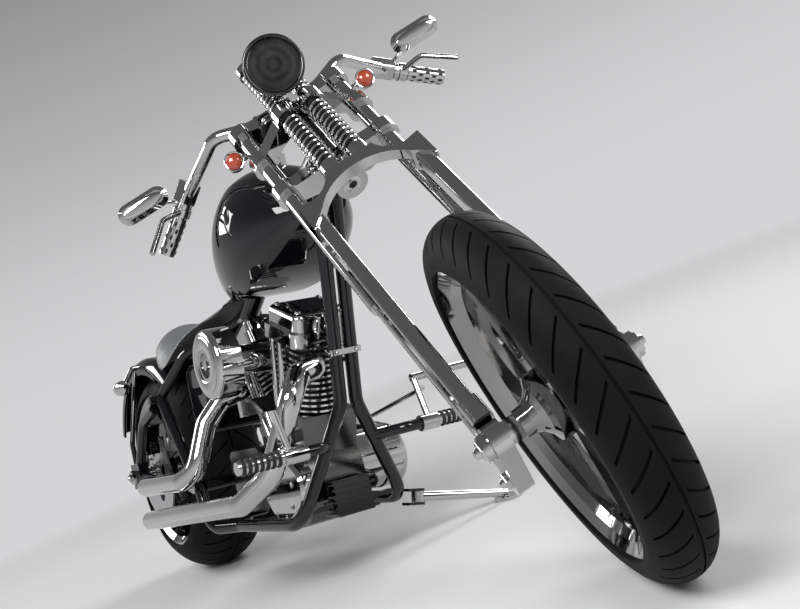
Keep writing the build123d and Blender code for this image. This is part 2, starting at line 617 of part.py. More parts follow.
# Tank and seat, lofted along the bike from a few arched sections
TANK = [
    # station x, z, tilt, half width at the floor, at the waist and at the shoulder, height down and up
    dict(x=645, z=744, tilt=0, floor=32, waist=46, shoulder=30, down=16, up=22),
    dict(x=775, z=822, tilt=2, floor=86, waist=122, shoulder=84, down=108, up=124),
    dict(x=925, z=870, tilt=8, floor=104, waist=158, shoulder=112, down=147, up=134),
    dict(x=1052, z=884, tilt=19, floor=86, waist=138, shoulder=96, down=120, up=116),
    dict(x=1136, z=884, tilt=34, floor=46, waist=80, shoulder=54, down=66, up=62),
]
SEAT = [
    dict(x=612, z=726, half=58, edge=2, rise=26, sag=8, lip=6),
    dict(x=520, z=695, half=98, edge=0, rise=36, sag=10, lip=10),
    dict(x=425, z=660, half=138, edge=0, rise=46, sag=16.1, lip=14),
    dict(x=315, z=612, half=152, edge=0, rise=88, sag=40, lip=22),
    dict(x=205, z=632, half=136, edge=0, rise=104, sag=28, lip=26),
    dict(x=112, z=676, half=86, edge=0, rise=62, sag=10, lip=16),
]

with BuildPart() as fuel_tank:
    for s in TANK:
        tilt = math.radians(s["tilt"])
        with BuildSketch(Plane((s["x"], 0, s["z"]), x_dir=(0, 1, 0),
                               z_dir=(math.cos(tilt), 0, math.sin(tilt)))):
            with BuildLine():
                low, high = -s["down"], s["up"] * 0.72
                right = ThreePointArc((s["floor"], low), (s["waist"], 0), (s["shoulder"], high))
                top = ThreePointArc(right @ 1, (0, s["up"]), (-s["shoulder"], high))
                left = ThreePointArc(top @ 1, (-s["waist"], 0), (-s["floor"], low))
                Line(left @ 1, right @ 0)
            make_face()
    loft()
    with BuildLine(mode=Mode.PRIVATE) as spine:
        FilletPolyline(*BACKBONE, radius=[160, 160])
    with BuildSketch(Plane(origin=spine.line @ 0, z_dir=spine.line % 0), mode=Mode.PRIVATE) as tunnel:
        Circle(BACKBONE_R + SEAT_GAP)
    sweep(tunnel.sketch, path=spine.wire(), mode=Mode.SUBTRACT)

CAP_X, CAP_Z, CAP_R = 985.0, 990.0, 30.0
with BuildPart() as fuel_cap:
    with Locations((CAP_X, 0, CAP_Z)):
        Cylinder(CAP_R, 34, align=(Align.CENTER, Align.CENTER, Align.MIN))
    add(fuel_tank.part, mode=Mode.SUBTRACT)

with BuildPart() as seat:
    for s in SEAT:
        with BuildSketch(Plane((s["x"], 0, s["z"]), x_dir=(0, 1, 0), z_dir=(1, 0, 0))):
            with BuildLine():
                under = ThreePointArc((-s["half"], s["edge"]), (0, s["sag"]), (s["half"], s["edge"]))
                Line(under @ 1, (s["half"], s["lip"]))
                over = ThreePointArc((s["half"], s["lip"]), (0, s["rise"]), (-s["half"], s["lip"]))
                Line(over @ 1, under @ 0)
            make_face()
    loft()

# Engine: two finned cylinders in a narrow V on one crankcase
CRANK = Vector(CRANK_X, 0, CRANK_Z)
vee = math.radians(CYLINDER_LEAN)
BANKS = [
    Plane(CRANK, x_dir=(math.cos(vee) * lean, 0, -math.sin(vee)),
          z_dir=(math.sin(vee) * lean, 0, math.cos(vee)))
    for lean in (1, -1)
]
CASE_R = 112.0
DECK_HALF = 70.0

with BuildPart() as crankcase:
    with BuildSketch(Plane.XZ):
        with Locations((CRANK_X, CRANK_Z)):
            Circle(CASE_R)
            for lean in (1, -1):
                with Locations(Rotation(0, 0, -CYLINDER_LEAN * lean)):
                    Rectangle(2 * DECK_HALF, DECK, align=(Align.CENTER, Align.MIN))
    extrude(amount=CASE_Y, both=True)

FIN_COUNT = 8
FIN_THICK = 5.0
with BuildPart() as cylinders:
    for bank in BANKS:
        with Locations(bank.offset(DECK + SEAT_GAP).location):
            Cylinder(BARREL_R, HEAD_BASE - DECK - 2 * SEAT_GAP,
                     align=(Align.CENTER, Align.CENTER, Align.MIN))
        pitch = (HEAD_BASE - DECK) / FIN_COUNT
        for n in range(FIN_COUNT):
            with Locations(bank.offset(DECK + pitch * (n + 0.5)).location):
                Cylinder(FIN_R, FIN_THICK)

HEAD_FINS = 4
HEAD_FIN = 148.0
with BuildPart() as heads:
    for bank in BANKS:
        with BuildSketch(bank.offset(HEAD_BASE)):
            RectangleRounded(124, 124, 30)
        extrude(amount=BOX_BASE - HEAD_BASE - SEAT_GAP)
        pitch = (BOX_BASE - HEAD_BASE) / HEAD_FINS
        for n in range(HEAD_FINS):
            with BuildSketch(bank.offset(HEAD_BASE + pitch * (n + 0.5) - FIN_THICK / 2)):
                RectangleRounded(HEAD_FIN, HEAD_FIN, 36)
            extrude(amount=FIN_THICK)

BOX_SHIFT = -10.0
BOX_STEP = 396.0
with BuildPart() as rocker_boxes:
    for bank in BANKS:
        for low, high, long, wide in ((BOX_BASE, BOX_STEP, 166, 170), (BOX_STEP, BOX_TOP, 154, 150)):
            with BuildSketch(bank.offset(low)):
                with Locations((0, BOX_SHIFT)):
                    RectangleRounded(long, wide, 20)
            extrude(amount=high - low)
        fillet(rocker_boxes.faces().sort_by(Axis(bank.origin, bank.z_dir))[-1].edges(), 15)

CAM_DEEP = 40.0
with BuildPart() as cam_cover:
    with BuildSketch(Plane.XZ.offset(CASE_Y + SEAT_GAP)):
        with Locations((CRANK_X, CRANK_Z)):
            Circle(94)
        with Locations((CRANK_X + 74, CRANK_Z - 10)):
            Circle(58)
        make_hull()
    extrude(amount=CAM_DEEP)
    chamfer(cam_cover.faces().sort_by(Axis.Y)[0].edges(), 8)

BLOCK_Z = CRANK_Z + 94 + SEAT_GAP
PUSHROD_Y = -84.0
with BuildPart() as pushrod_tubes:
    with Locations((CRANK_X, PUSHROD_Y - 2, BLOCK_Z)):
        Box(128, 25, 30, align=(Align.CENTER, Align.CENTER, Align.MIN))
    for lean in (1, -1):
        for foot, reach in ((16, -50), (46, -10)):
            along = BOX_BASE - 2
            top_x = CRANK_X + lean * (math.sin(vee) * along + math.cos(vee) * reach)
            top_z = CRANK_Z + math.cos(vee) * along - math.sin(vee) * reach
            rod((CRANK_X + lean * foot, PUSHROD_Y, BLOCK_Z + 20), (top_x, PUSHROD_Y, top_z), 8)

AIR_X, AIR_Y, AIR_Z, AIR_R = 853.0, -200.0, 562.0, 86.0
with BuildPart() as air_cleaner:
    with BuildSketch(Plane.XZ.offset(-AIR_Y - 32)):
        with Locations((AIR_X, AIR_Z)):
            Circle(AIR_R)
    extrude(amount=64)
    fillet(air_cleaner.faces().sort_by(Axis.Y)[0].edges(), 14)
    with BuildSketch(Plane.XZ.offset(-AIR_Y + 32)):
        with Locations((AIR_X, AIR_Z)):
            Circle(AIR_R * 0.36)
            Circle(AIR_R * 0.14, mode=Mode.SUBTRACT)
    extrude(amount=-9, mode=Mode.SUBTRACT)
    rod((AIR_X, AIR_Y + 34, AIR_Z), (AIR_X, -18, AIR_Z - 12), 37)
    rod((CRANK_X - 48, -18, AIR_Z - 18), (CRANK_X + 48, -18, AIR_Z - 18), 19)

PORT_UP, PORT_Y = 322.0, -52.0


def port(lean, reach):
    """Point on a head's outlet axis, reach away from the bank's own axis."""
    x = CRANK_X + lean * (math.sin(vee) * PORT_UP + math.cos(vee) * reach)
    return (x, PORT_Y, CRANK_Z + math.cos(vee) * PORT_UP - math.sin(vee) * reach)


PORT_FACE = HEAD_FIN / 2 + SEAT_GAP
EXHAUST_FRONT = [port(1, PORT_FACE), port(1, PORT_FACE + 34), (1098, -112, 486), (1142, -162, 440),
                 (1052, -208, 280), (930, -244, 226), (214, -245, 198)]
EXHAUST_REAR = [port(-1, PORT_FACE), port(-1, PORT_FACE + 34), (604, -112, 484), (590, -164, 430),
                (586, -212, 318), (520, -232, 296), (186, -232, 292)]
PIPE_WALL, PIPE_OPEN = 2.5, 120.0


def exhaust(points, bends):
    """Adds a pipe that is open for a hand's length at its tail."""
    bent_tube(points, bends, PIPE_R)
    tail = Vector(*points[-1])
    way = (tail - Vector(*points[-2])).normalized()
    with BuildSketch(Plane(tail, z_dir=way)) as section:
        Circle(PIPE_R - PIPE_WALL)
    extrude(section.sketch, amount=-PIPE_OPEN, mode=Mode.SUBTRACT)


with BuildPart() as exhaust_front:
    exhaust(EXHAUST_FRONT, [32, 36, 36, 60, 60])
with BuildPart() as exhaust_rear:
    exhaust(EXHAUST_REAR, [32, 36, 60, 50, 50])

PRIMARY_IN, PRIMARY_OUT = 158.0, 222.0
CLUTCH_X, CLUTCH_Z, CLUTCH_R = 600.0, 277.0, 100.0
with BuildPart() as primary_cover:
    with BuildSketch(Plane.XZ.offset(-PRIMARY_IN)):
        with Locations((CRANK_X + 5, CRANK_Z + 12)):
            Circle(80)
        with Locations((CLUTCH_X, CLUTCH_Z)):
            Circle(CLUTCH_R)
        make_hull()
    extrude(amount=PRIMARY_IN - PRIMARY_OUT)
    fillet(primary_cover.faces().sort_by(Axis.Y)[-1].edges(), 22)
    with BuildSketch(Plane.XZ.offset(-CASE_Y - SEAT_GAP)):
        with Locations((CRANK_X + 5, CRANK_Z + 12)):
            Circle(76)
    extrude(amount=CASE_Y - PRIMARY_IN)

with BuildPart() as gearbox:
    with Locations((619, (CASE_Y - 90) / 2, 258.5)):
        Box(206, 90 + CASE_Y, 166)
    fillet(gearbox.edges().filter_by(Axis.Y), 24)
    rod((SPROCKET_X, CASE_Y - 4, SPROCKET_Z), (SPROCKET_X, PULLEY_Y, SPROCKET_Z), 20)
    with Locations(Location((SPROCKET_X, PULLEY_Y, SPROCKET_Z), (90, 0, 0))):
        Cylinder(SPROCKET_R, BELT_WIDE)

with BuildPart() as oil_tank:
    with BuildSketch(Plane.XZ):
        with Locations((468, 500)):
            RectangleRounded(150, 200, 40)
    extrude(amount=125, both=True)
    fillet(oil_tank.faces().sort_by(Axis.Y)[0].edges() + oil_tank.faces().sort_by(Axis.Y)[-1].edges(), 18)
    rod((470, 0, 590), (470, 0, 625.5), 14)

with BuildPart() as oil_cooler:
    with Locations((996, 0, 186)):
        Box(44, 96, 82)
    for n in range(6):
        with Locations((996, 0, 152 + 14 * n)):
            Box(60, 116, 5)
    with Locations((996, 0, RAIL_Z + 20)):
        Box(20, 215, 10)

SHIFT_ROD_Y = 238.0
with BuildPart() as left_controls:
    rod((PEG_X, PEG_ROOT_Y + SEAT_GAP, PEG_Z), (PEG_X, LEFT_PEG_Y, PEG_Z), PEG_R + 4)
    rod((PEG_X, LEFT_PEG_Y - 6, PEG_Z), (PEG_X, LEFT_PEG_Y + PEG_LONG, PEG_Z), PEG_R)
    rod((PEG_X, 178, PEG_Z), (PEG_X - 30, 178, 424), 8)
    rod((PEG_X - 30, 172, 424), (PEG_X - 30, 345, 430), 10)
    bent_tube([(PEG_X - 26, 178, 402), (1060, 226, 395), (640, SHIFT_ROD_Y, 335),
               (640, PRIMARY_OUT + SEAT_GAP, 335)], [20, 7], 6)

PEDAL_ROOT_Y, PEDAL_Y, PEDAL_Z = -188.0, -252.0, 436.0
with BuildPart() as right_controls:
    rod((PEG_X, -PEG_ROOT_Y - SEAT_GAP, PEG_Z), (PEG_X, RIGHT_PEG_Y, PEG_Z), PEG_R + 4)
    rod((PEG_X, RIGHT_PEG_Y + 6, PEG_Z), (PEG_X, RIGHT_PEG_Y - PEG_LONG, PEG_Z), PEG_R)
    rod((PEG_X, PEDAL_ROOT_Y, PEG_Z), (PEG_X + 26, PEDAL_Y + 30, PEDAL_Z - 4), 8)
    with Locations((PEG_X + 28, PEDAL_Y, PEDAL_Z)):
        Box(16, 78, 34)

# Side stand: its pin nearly upright, the leg swung out and forward, its foot flat on the floor
STAND_ROOT = Vector(990, 184, 138)
FOOT_X, FOOT_Y = 1072.0, 392.0


def floor_height(x, y):
    """Height of the floor under a point of the upright bike, once it leans."""
    n, o = FLOOR.z_dir, FLOOR.origin
    return o.Z - (n.X * (x - o.X) + n.Y * (y - o.Y)) / n.Z


FOOT = Vector(FOOT_X, FOOT_Y, floor_height(FOOT_X, FOOT_Y))
STAND_OUT = (FOOT - STAND_ROOT + FLOOR.z_dir * 14).normalized()
STAND_FOLDED = Vector(-0.985, 0.17, 0.0)
STAND_AXIS = STAND_OUT.cross(STAND_FOLDED).normalized()
STAND_PLANE = Plane(STAND_ROOT, x_dir=STAND_OUT, z_dir=STAND_AXIS)
STAND_LONG = (FOOT - STAND_ROOT).length
EYE_R, EYE_H, STAND_PIN_R = 17.0, 26.0, 8.0

with BuildPart() as side_stand:
    with BuildSketch(Plane(STAND_ROOT + STAND_OUT * 8, z_dir=STAND_OUT)):
        Circle(13)
    with BuildSketch(Plane(STAND_ROOT + STAND_OUT * (STAND_LONG - 6), z_dir=STAND_OUT)):
        Circle(10)
    loft()
    with BuildSketch(STAND_PLANE.offset(-EYE_H / 2)):
        Circle(EYE_R)
    extrude(amount=EYE_H)
    with BuildSketch(Plane(FOOT, x_dir=FLOOR.x_dir, z_dir=FLOOR.z_dir)):
        SlotOverall(78, 44, rotation=20)
    extrude(amount=9)
    with BuildSketch(STAND_PLANE.offset(-EYE_H)):
        Circle(STAND_PIN_R + RUN_GAP)
    extrude(amount=2 * EYE_H, mode=Mode.SUBTRACT)

CHEEK = 7.0
with BuildPart() as stand_bracket:
    with BuildSketch(STAND_PLANE.offset(-EYE_H / 2 - CHEEK)):
        Circle(STAND_PIN_R)
    extrude(amount=EYE_H + 2 * CHEEK)
    for low in (-EYE_H / 2 - CHEEK, EYE_H / 2 + SEAT_GAP):
        with BuildSketch(STAND_PLANE.offset(low)):
            Circle(EYE_R)
            with BuildLine():
                away = STAND_PLANE.to_local_coords(STAND_ROOT + Vector(0, -37, 0))
                side_step = Vector(-away.Y, away.X).normalized() * EYE_R
                flat = Vector(away.X, away.Y)
                Polyline(side_step, flat + side_step, flat - side_step, side_step * -1, close=True)
            make_face()
        extrude(amount=CHEEK - SEAT_GAP)

fork_parts = dict(
    fork_legs=fork_legs, lower_tree=lower_tree, upper_tree=upper_tree, spring_bridge=spring_bridge,
    spring_fork=spring_fork, springs=springs, spring_caps=spring_caps, rockers=rockers,
    front_axle=front_axle, front_caliper=front_caliper, headlight=headlight,
    headlight_lens=headlight_lens, handlebar=handlebar, grips=grips, levers=levers, mirrors=mirrors,
    front_signals=front_signals,
)
front_parts = dict(front_tyre=front_tyre, front_wheel=front_wheel, front_disc=front_disc)
rear_parts = dict(rear_tyre=rear_tyre, rear_wheel=rear_wheel, rear_disc=rear_disc, rear_pulley=rear_pulley)
bike_parts = dict(
    frame=frame, swingarm=swingarm, rear_axle=rear_axle, drive_belt=drive_belt,
    rear_caliper=rear_caliper, rear_fender=rear_fender, rear_signals=rear_signals, fuel_tank=fuel_tank,
    fuel_cap=fuel_cap, seat=seat, crankcase=crankcase, cylinders=cylinders, heads=heads,
    rocker_boxes=rocker_boxes, cam_cover=cam_cover, pushrod_tubes=pushrod_tubes,
    air_cleaner=air_cleaner, exhaust_front=exhaust_front, exhaust_rear=exhaust_rear,
    primary_cover=primary_cover, gearbox=gearbox, oil_tank=oil_tank, oil_cooler=oil_cooler,
    left_controls=left_controls, right_controls=right_controls, stand_bracket=stand_bracket,
)
stand_parts = dict(side_stand=side_stand)

placed = {}
for group, place in (
    (bike_parts, LEANED), (stand_parts, LEANED), (fork_parts, LEANED * STEERED),
    (front_parts, LEANED * FRONT_HUB), (rear_parts, LEANED * Location(REAR_AXLE)),
):
    for name, piece in group.items():
        placed[name] = piece.part.moved(place)

box = Compound(children=[Compound(piece.wrapped) for piece in placed.values()]).bounding_box()
CENTRED = Location((-box.center().X, -box.center().Y, 0))

os.makedirs("parts", exist_ok=True)
for name, piece in placed.items():
    piece = piece.moved(CENTRED)
    piece.label = name
    export_step(piece, f"parts/{name}.step")
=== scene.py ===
"""Looks of the chopper motorcycle, dressed over its CAD frame.

Shapes are drawn in millimetres in the bike's, the fork's or a wheel's own frame; a frame's matrix then
puts them in their place in metres.
"""

import json
import math

import bmesh
import bpy
from mathutils import Matrix, Vector


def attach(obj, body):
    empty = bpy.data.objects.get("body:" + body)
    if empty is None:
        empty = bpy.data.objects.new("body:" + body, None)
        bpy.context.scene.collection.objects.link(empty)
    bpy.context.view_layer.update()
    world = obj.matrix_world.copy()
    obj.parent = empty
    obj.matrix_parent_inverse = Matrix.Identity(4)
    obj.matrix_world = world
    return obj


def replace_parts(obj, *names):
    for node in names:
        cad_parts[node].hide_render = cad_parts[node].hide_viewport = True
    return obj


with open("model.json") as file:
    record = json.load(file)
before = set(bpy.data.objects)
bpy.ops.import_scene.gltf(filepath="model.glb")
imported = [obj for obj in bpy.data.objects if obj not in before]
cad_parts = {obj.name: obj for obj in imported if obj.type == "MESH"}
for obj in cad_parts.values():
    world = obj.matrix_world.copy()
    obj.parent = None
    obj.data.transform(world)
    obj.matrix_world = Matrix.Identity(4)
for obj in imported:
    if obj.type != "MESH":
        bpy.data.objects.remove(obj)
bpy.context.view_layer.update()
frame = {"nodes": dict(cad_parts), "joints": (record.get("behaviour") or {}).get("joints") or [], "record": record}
nodes = frame["nodes"]

# Camera, as the photograph looks at the bike
CAMERA_AT = Vector((2.296, -1.2704, 0.6229))
CAMERA_TO = Vector((0.455, -0.1264, 0.5616))
CAMERA_ROLL = math.radians(23.17)
LENS_MM = 47.34

lens = bpy.data.cameras.new("camera")
lens.sensor_fit = "HORIZONTAL"
lens.sensor_width = 36.0
lens.lens = LENS_MM
lens.clip_end = 200.0
camera = bpy.data.objects.new("camera", lens)
aim = (CAMERA_TO - CAMERA_AT).to_track_quat("-Z", "Y").to_matrix().to_4x4()
camera.matrix_world = Matrix.Translation(CAMERA_AT) @ aim @ Matrix.Rotation(-CAMERA_ROLL, 4, "Z")
bpy.context.scene.collection.objects.link(camera)
bpy.context.scene.camera = camera
bpy.context.scene.view_settings.view_transform = "Standard"

# The bike's and the fork's own frames, read from the joints
RAKE = math.radians(42.0)
REAR_TYRE_R = 0.325
MM = Matrix.Scale(0.001, 4)
joints = {joint["name"]: joint for joint in frame["joints"]}


def axes_frame(forward, left, up, origin):
    """A matrix from millimetres along three axes to metres in the shared frame."""
    turn = Matrix((forward, left, up)).transposed().to_4x4()
    return Matrix.Translation(origin) @ turn @ MM


steer_up = Vector(joints["steering_turn"]["axis"]).normalized()
steer_at = Vector(joints["steering_turn"]["pos_m"])
fork_left = Vector(joints["front_wheel_spin"]["axis"]).normalized()
front_hub = Vector(joints["front_wheel_spin"]["pos_m"])
rear_hub = Vector(joints["rear_wheel_spin"]["pos_m"])
bike_left = Vector(joints["rear_wheel_spin"]["axis"]).normalized()

fork_forward = fork_left.cross(steer_up)
FORK = axes_frame(fork_forward, fork_left, steer_up, steer_at + (front_hub - steer_at).project(steer_up))
head_forward = bike_left.cross(steer_up)
bike_forward = head_forward * math.cos(RAKE) - steer_up * math.sin(RAKE)
bike_up = head_forward * math.sin(RAKE) + steer_up * math.cos(RAKE)
BIKE = axes_frame(bike_forward, bike_left, bike_up, rear_hub - bike_up * REAR_TYRE_R)
FRONT_HUB = axes_frame(fork_forward, fork_left, steer_up, front_hub)
REAR_HUB = axes_frame(bike_forward, bike_left, bike_up, rear_hub)


def seat_on(place, point, way, across=(0, 1, 0)):
    """The matrix of a small local frame inside place, at a point, with its Z axis along way."""
    up = Vector(way).normalized()
    side = Vector(across)
    side = (side - up * side.dot(up)).normalized()
    turn = Matrix((side, up.cross(side), up)).transposed().to_4x4()
    return place @ Matrix.Translation(Vector(point)) @ turn


class Value:
    """A node socket that takes part in Python sums."""

    def __init__(self, tree, socket):
        self.tree = tree
        self.socket = socket

    def sum(self, operation, other=0.0, swap=False):
        pair = (other, self) if swap else (self, other)
        node = self.tree.nodes.new("ShaderNodeMath")
        node.operation = operation
        for slot, value in zip(node.inputs, pair):
            if isinstance(value, Value):
                self.tree.links.new(value.socket, slot)
            else:
                slot.default_value = value
        return Value(self.tree, node.outputs[0])

    def __add__(self, other):
        return self.sum("ADD", other)

    def __rsub__(self, other):
        return self.sum("SUBTRACT", other, True)

    def __mul__(self, other):
        return self.sum("MULTIPLY", other)


class Finish:
    """A node material around one Principled shader."""

    def __init__(self, name, **constants):
        self.material = bpy.data.materials.new(name)
        self.material.use_nodes = True
        self.tree = self.material.node_tree
        self.shader = self.tree.nodes["Principled BSDF"]
        for socket, value in constants.items():
            self.shader.inputs[socket.replace("_", " ")].default_value = value

    def node(self, kind, settings=None, out=0, **sockets):
        node = self.tree.nodes.new("ShaderNode" + kind)
        for key, value in (settings or {}).items():
            if key == "stops":
                for element, (at, colour) in zip(node.color_ramp.elements, value):
                    element.position = at
                    element.color = colour
            else:
                setattr(node, key, value)
        for socket, value in sockets.items():
            slot = node.inputs[socket.replace("_", " ")]
            if isinstance(value, Value):
                self.tree.links.new(value.socket, slot)
            else:
                slot.default_value = value
        return Value(self.tree, node.outputs[out])

    def place(self):
        return self.node("TexCoord", out="Object")

    def local(self, matrix):
        """Object coordinates in a frame of its own, in millimetres."""
        back = matrix.inverted()
        spot = self.node("Mapping", Vector=self.place(), Scale=back.to_scale())
        turned = self.node("Mapping", Vector=spot, Rotation=back.to_euler("XYZ"),
                           Location=back.to_translation())
        return [self.node("SeparateXYZ", out=n, Vector=turned) for n in range(3)]

    def noise(self, scale, detail=3.0, rough=0.5):
        return self.node("TexNoise", Vector=self.place(), Scale=scale, Detail=detail, Roughness=rough)

    def colour(self, mask, low, high):
        stops = [(0.0, (*low, 1.0)), (1.0, (*high, 1.0))]
        return self.node("ValToRGB", {"stops": stops}, Fac=mask)

    def span(self, mask, low, high, from_low=0.0, from_high=1.0):
        return self.node("MapRange", Value=mask, From_Min=from_low, From_Max=from_high, To_Min=low,
                         To_Max=high)

    def bump(self, height, strength, distance):
        return self.node("Bump", Height=height, Strength=strength, Distance=distance)

    def feed(self, **sockets):
        for socket, value in sockets.items():
            self.tree.links.new(value.socket, self.shader.inputs[socket.replace("_", " ")])
        return self.material


def chrome_finish(name, low, high):
    """Mirror plating with faint wipe marks, from one depth of grey to another."""
    finish = Finish(name, Metallic=1.0)
    wipe = finish.noise(26.0, 4.0, 0.6)
    dull, clear = (low, low * 0.99, low * 0.98), (high, high * 0.99, high * 0.98)
    tone = finish.colour(finish.noise(3.0), dull, clear)
    return finish.feed(Roughness=finish.span(wipe, 0.03, 0.10, 0.3, 0.75), Base_Color=tone)


def rim_painted_reflection_finish():
    """Chrome for the lamp's rim, darkened as a painted reflection of the dark ground it faces."""
    finish = Finish("rim_chrome_painted_reflection", Metallic=1.0)
    tone = finish.colour(finish.noise(30.0), (0.045, 0.044, 0.042), (0.085, 0.083, 0.080))
    return finish.feed(Base_Color=tone, Roughness=finish.span(finish.noise(90.0), 0.08, 0.2))


def paint_finish():
    """Deep black lacquer under a clear coat with a little orange peel."""
    finish = Finish("black_lacquer", Roughness=0.4, Specular_IOR_Level=0.0, Coat_Weight=1.0,
                    Coat_Roughness=0.02)
    depth = finish.colour(finish.noise(900.0, 1.0), (0.002, 0.002, 0.003), (0.006, 0.006, 0.008))
    peel = finish.bump(finish.noise(320.0, 1.0), 0.04, 0.0003)
    return finish.feed(Base_Color=depth, Normal=peel)


def casting_finish():
    """Polished castings, duller in random patches."""
    finish = Finish("polished_castings", Metallic=1.0)
    grain = finish.noise(180.0, 5.0, 0.65)
    tone = finish.colour(finish.noise(9.0), (0.075, 0.074, 0.072), (0.17, 0.167, 0.163))
    return finish.feed(Base_Color=tone, Roughness=finish.span(grain, 0.12, 0.28),
                       Normal=finish.bump(grain, 0.10, 0.0003))


def tyre_finish():
    """Road rubber with a fine moulded grain and a little dust."""
    finish = Finish("road_rubber", Specular_IOR_Level=0.07)
    grain = finish.noise(420.0, 4.0, 0.7)
    dust = finish.noise(7.0, 5.0, 0.6)
    tone = finish.colour(dust, (0.003, 0.003, 0.003), (0.009, 0.009, 0.009))
    return finish.feed(Base_Color=tone, Roughness=finish.span(grain, 0.50, 0.74),
                       Normal=finish.bump(grain, 0.30, 0.0005))


def rubber_finish():
    """Soft black rubber."""
    finish = Finish("soft_rubber", Specular_IOR_Level=0.3)
    grain = finish.noise(500.0, 3.0, 0.6)
    tone = finish.colour(grain, (0.008, 0.008, 0.009), (0.022, 0.022, 0.023))
    return finish.feed(Base_Color=tone, Roughness=finish.span(grain, 0.45, 0.65),
                       Normal=finish.bump(grain, 0.25, 0.0005))


def leather_finish():
    """Smooth hide with a pebbled grain, its grey made lighter than black leather as a painted sheen."""
    finish = Finish("hide_with_painted_sheen", Specular_IOR_Level=0.55)
    pebble = finish.node("TexVoronoi", {"feature": "F1"}, Vector=finish.place(), Scale=520.0)
    crease = finish.noise(60.0, 5.0, 0.6)
    # The grey of the hide is painted sheen: black leather lightened to stand for the sky it reflects.
    tone = finish.colour(finish.noise(8.0, 4.0), (0.085, 0.088, 0.092), (0.130, 0.134, 0.138))
    height = pebble * 0.7 + crease * 0.5
    return finish.feed(Base_Color=tone, Roughness=finish.span(crease, 0.34, 0.50),
                       Normal=finish.bump(height, 0.2, 0.0005))


def steel_finish():
    """Ground brake steel with a fine grain."""
    finish = Finish("ground_steel", Metallic=1.0)
    grain = finish.noise(350.0, 4.0, 0.7)
    tone = finish.colour(grain, (0.36, 0.36, 0.37), (0.54, 0.54, 0.55))
    return finish.feed(Base_Color=tone, Roughness=finish.span(grain, 0.18, 0.34))


def soot_and_painted_shade_finish():
    """Dull black inside the pipes: burnt soot, and painted shade deep down the pipes."""
    finish = Finish("pipe_soot_and_painted_shade")
    patch = finish.noise(90.0, 5.0, 0.6)
    return finish.feed(Base_Color=finish.colour(patch, (0.004, 0.004, 0.004), (0.020, 0.018, 0.016)),
                       Roughness=finish.span(patch, 0.7, 0.95))


def lamp_finish(name, deep, bright, rough):
    """Moulded signal lens, darker where the plastic is thick."""
    finish = Finish(name, Coat_Weight=1.0, Coat_Roughness=0.03, Subsurface_Weight=0.2)
    cell = finish.node("TexVoronoi", {"feature": "F1"}, Vector=finish.place(), Scale=330.0)
    return finish.feed(Base_Color=finish.colour(cell, deep, bright),
                       Roughness=finish.span(cell, rough, rough + 0.2),
                       Normal=finish.bump(cell, 0.35, 0.0006))


def headlight_finish(place):
    """Smoked lens over a reflector, with moulded rings and a fine cross hatch."""
    finish = Finish("smoked_lens", Coat_Weight=0.3, Coat_Roughness=0.02, Specular_IOR_Level=0.15)
    x, y, _ = finish.local(place)
    far = (x * x + y * y).sum("SQRT")
    rings = (far * 0.33).sum("SINE")
    hatch = (x * 1.5).sum("SINE") * (y * 1.5).sum("SINE")
    cloud = finish.noise(34.0, 2.0, 0.5)
    pattern = finish.span(rings * 0.22 + hatch * 0.3 + cloud * 1.4, 0.0, 1.0, 0.1, 1.4)
    tone = finish.colour(pattern, (0.003, 0.003, 0.003), (0.030, 0.029, 0.028))
    return finish.feed(Base_Color=tone, Roughness=finish.span(pattern, 0.10, 0.30),
                       Normal=finish.bump(pattern, 0.16, 0.0006))


# Engine sizes that the fin edges and the bolts need
CRANK = (850.0, 0.0, 240.0)
BANK_LEAN = math.radians(22.5)
BANKS = [
    seat_on(BIKE, CRANK, (math.sin(BANK_LEAN) * lean, 0, math.cos(BANK_LEAN)),
            (math.cos(BANK_LEAN), 0, 0))
    for lean in (1, -1)
]
FIN_R, HEAD_FIN_HALF = 68.0, 74.0
BRIGHT_EDGE = 1.6


def fin_finish(name, square):
    """Black enamel, satin and lightly grained, ground bright along the fins' edges."""
    finish = Finish(name)
    grain = finish.noise(260.0, 4.0, 0.6)
    near = None
    for bank in BANKS:
        x, y, _ = finish.local(bank)
        if square:
            far = x.sum("ABSOLUTE").sum("MAXIMUM", y.sum("ABSOLUTE"))
        else:
            far = (x * x + y * y).sum("SQRT")
        near = far if near is None else near.sum("MINIMUM", far)
    limit = (HEAD_FIN_HALF if square else FIN_R) - BRIGHT_EDGE
    edge = near.sum("GREATER_THAN", limit)
    black = finish.colour(finish.noise(14.0), (0.006, 0.006, 0.007), (0.018, 0.018, 0.019))
    tone = finish.node("MixRGB", Fac=edge, Color1=black, Color2=(0.66, 0.66, 0.67, 1.0))
    rough = finish.span(grain, 0.32, 0.52) * (1.0 - edge) + edge * 0.16
    return finish.feed(Base_Color=tone, Roughness=rough, Metallic=edge,
                       Normal=finish.bump(grain, 0.15, 0.0004))


chrome = chrome_finish("mirror_chrome", 0.47, 0.56)
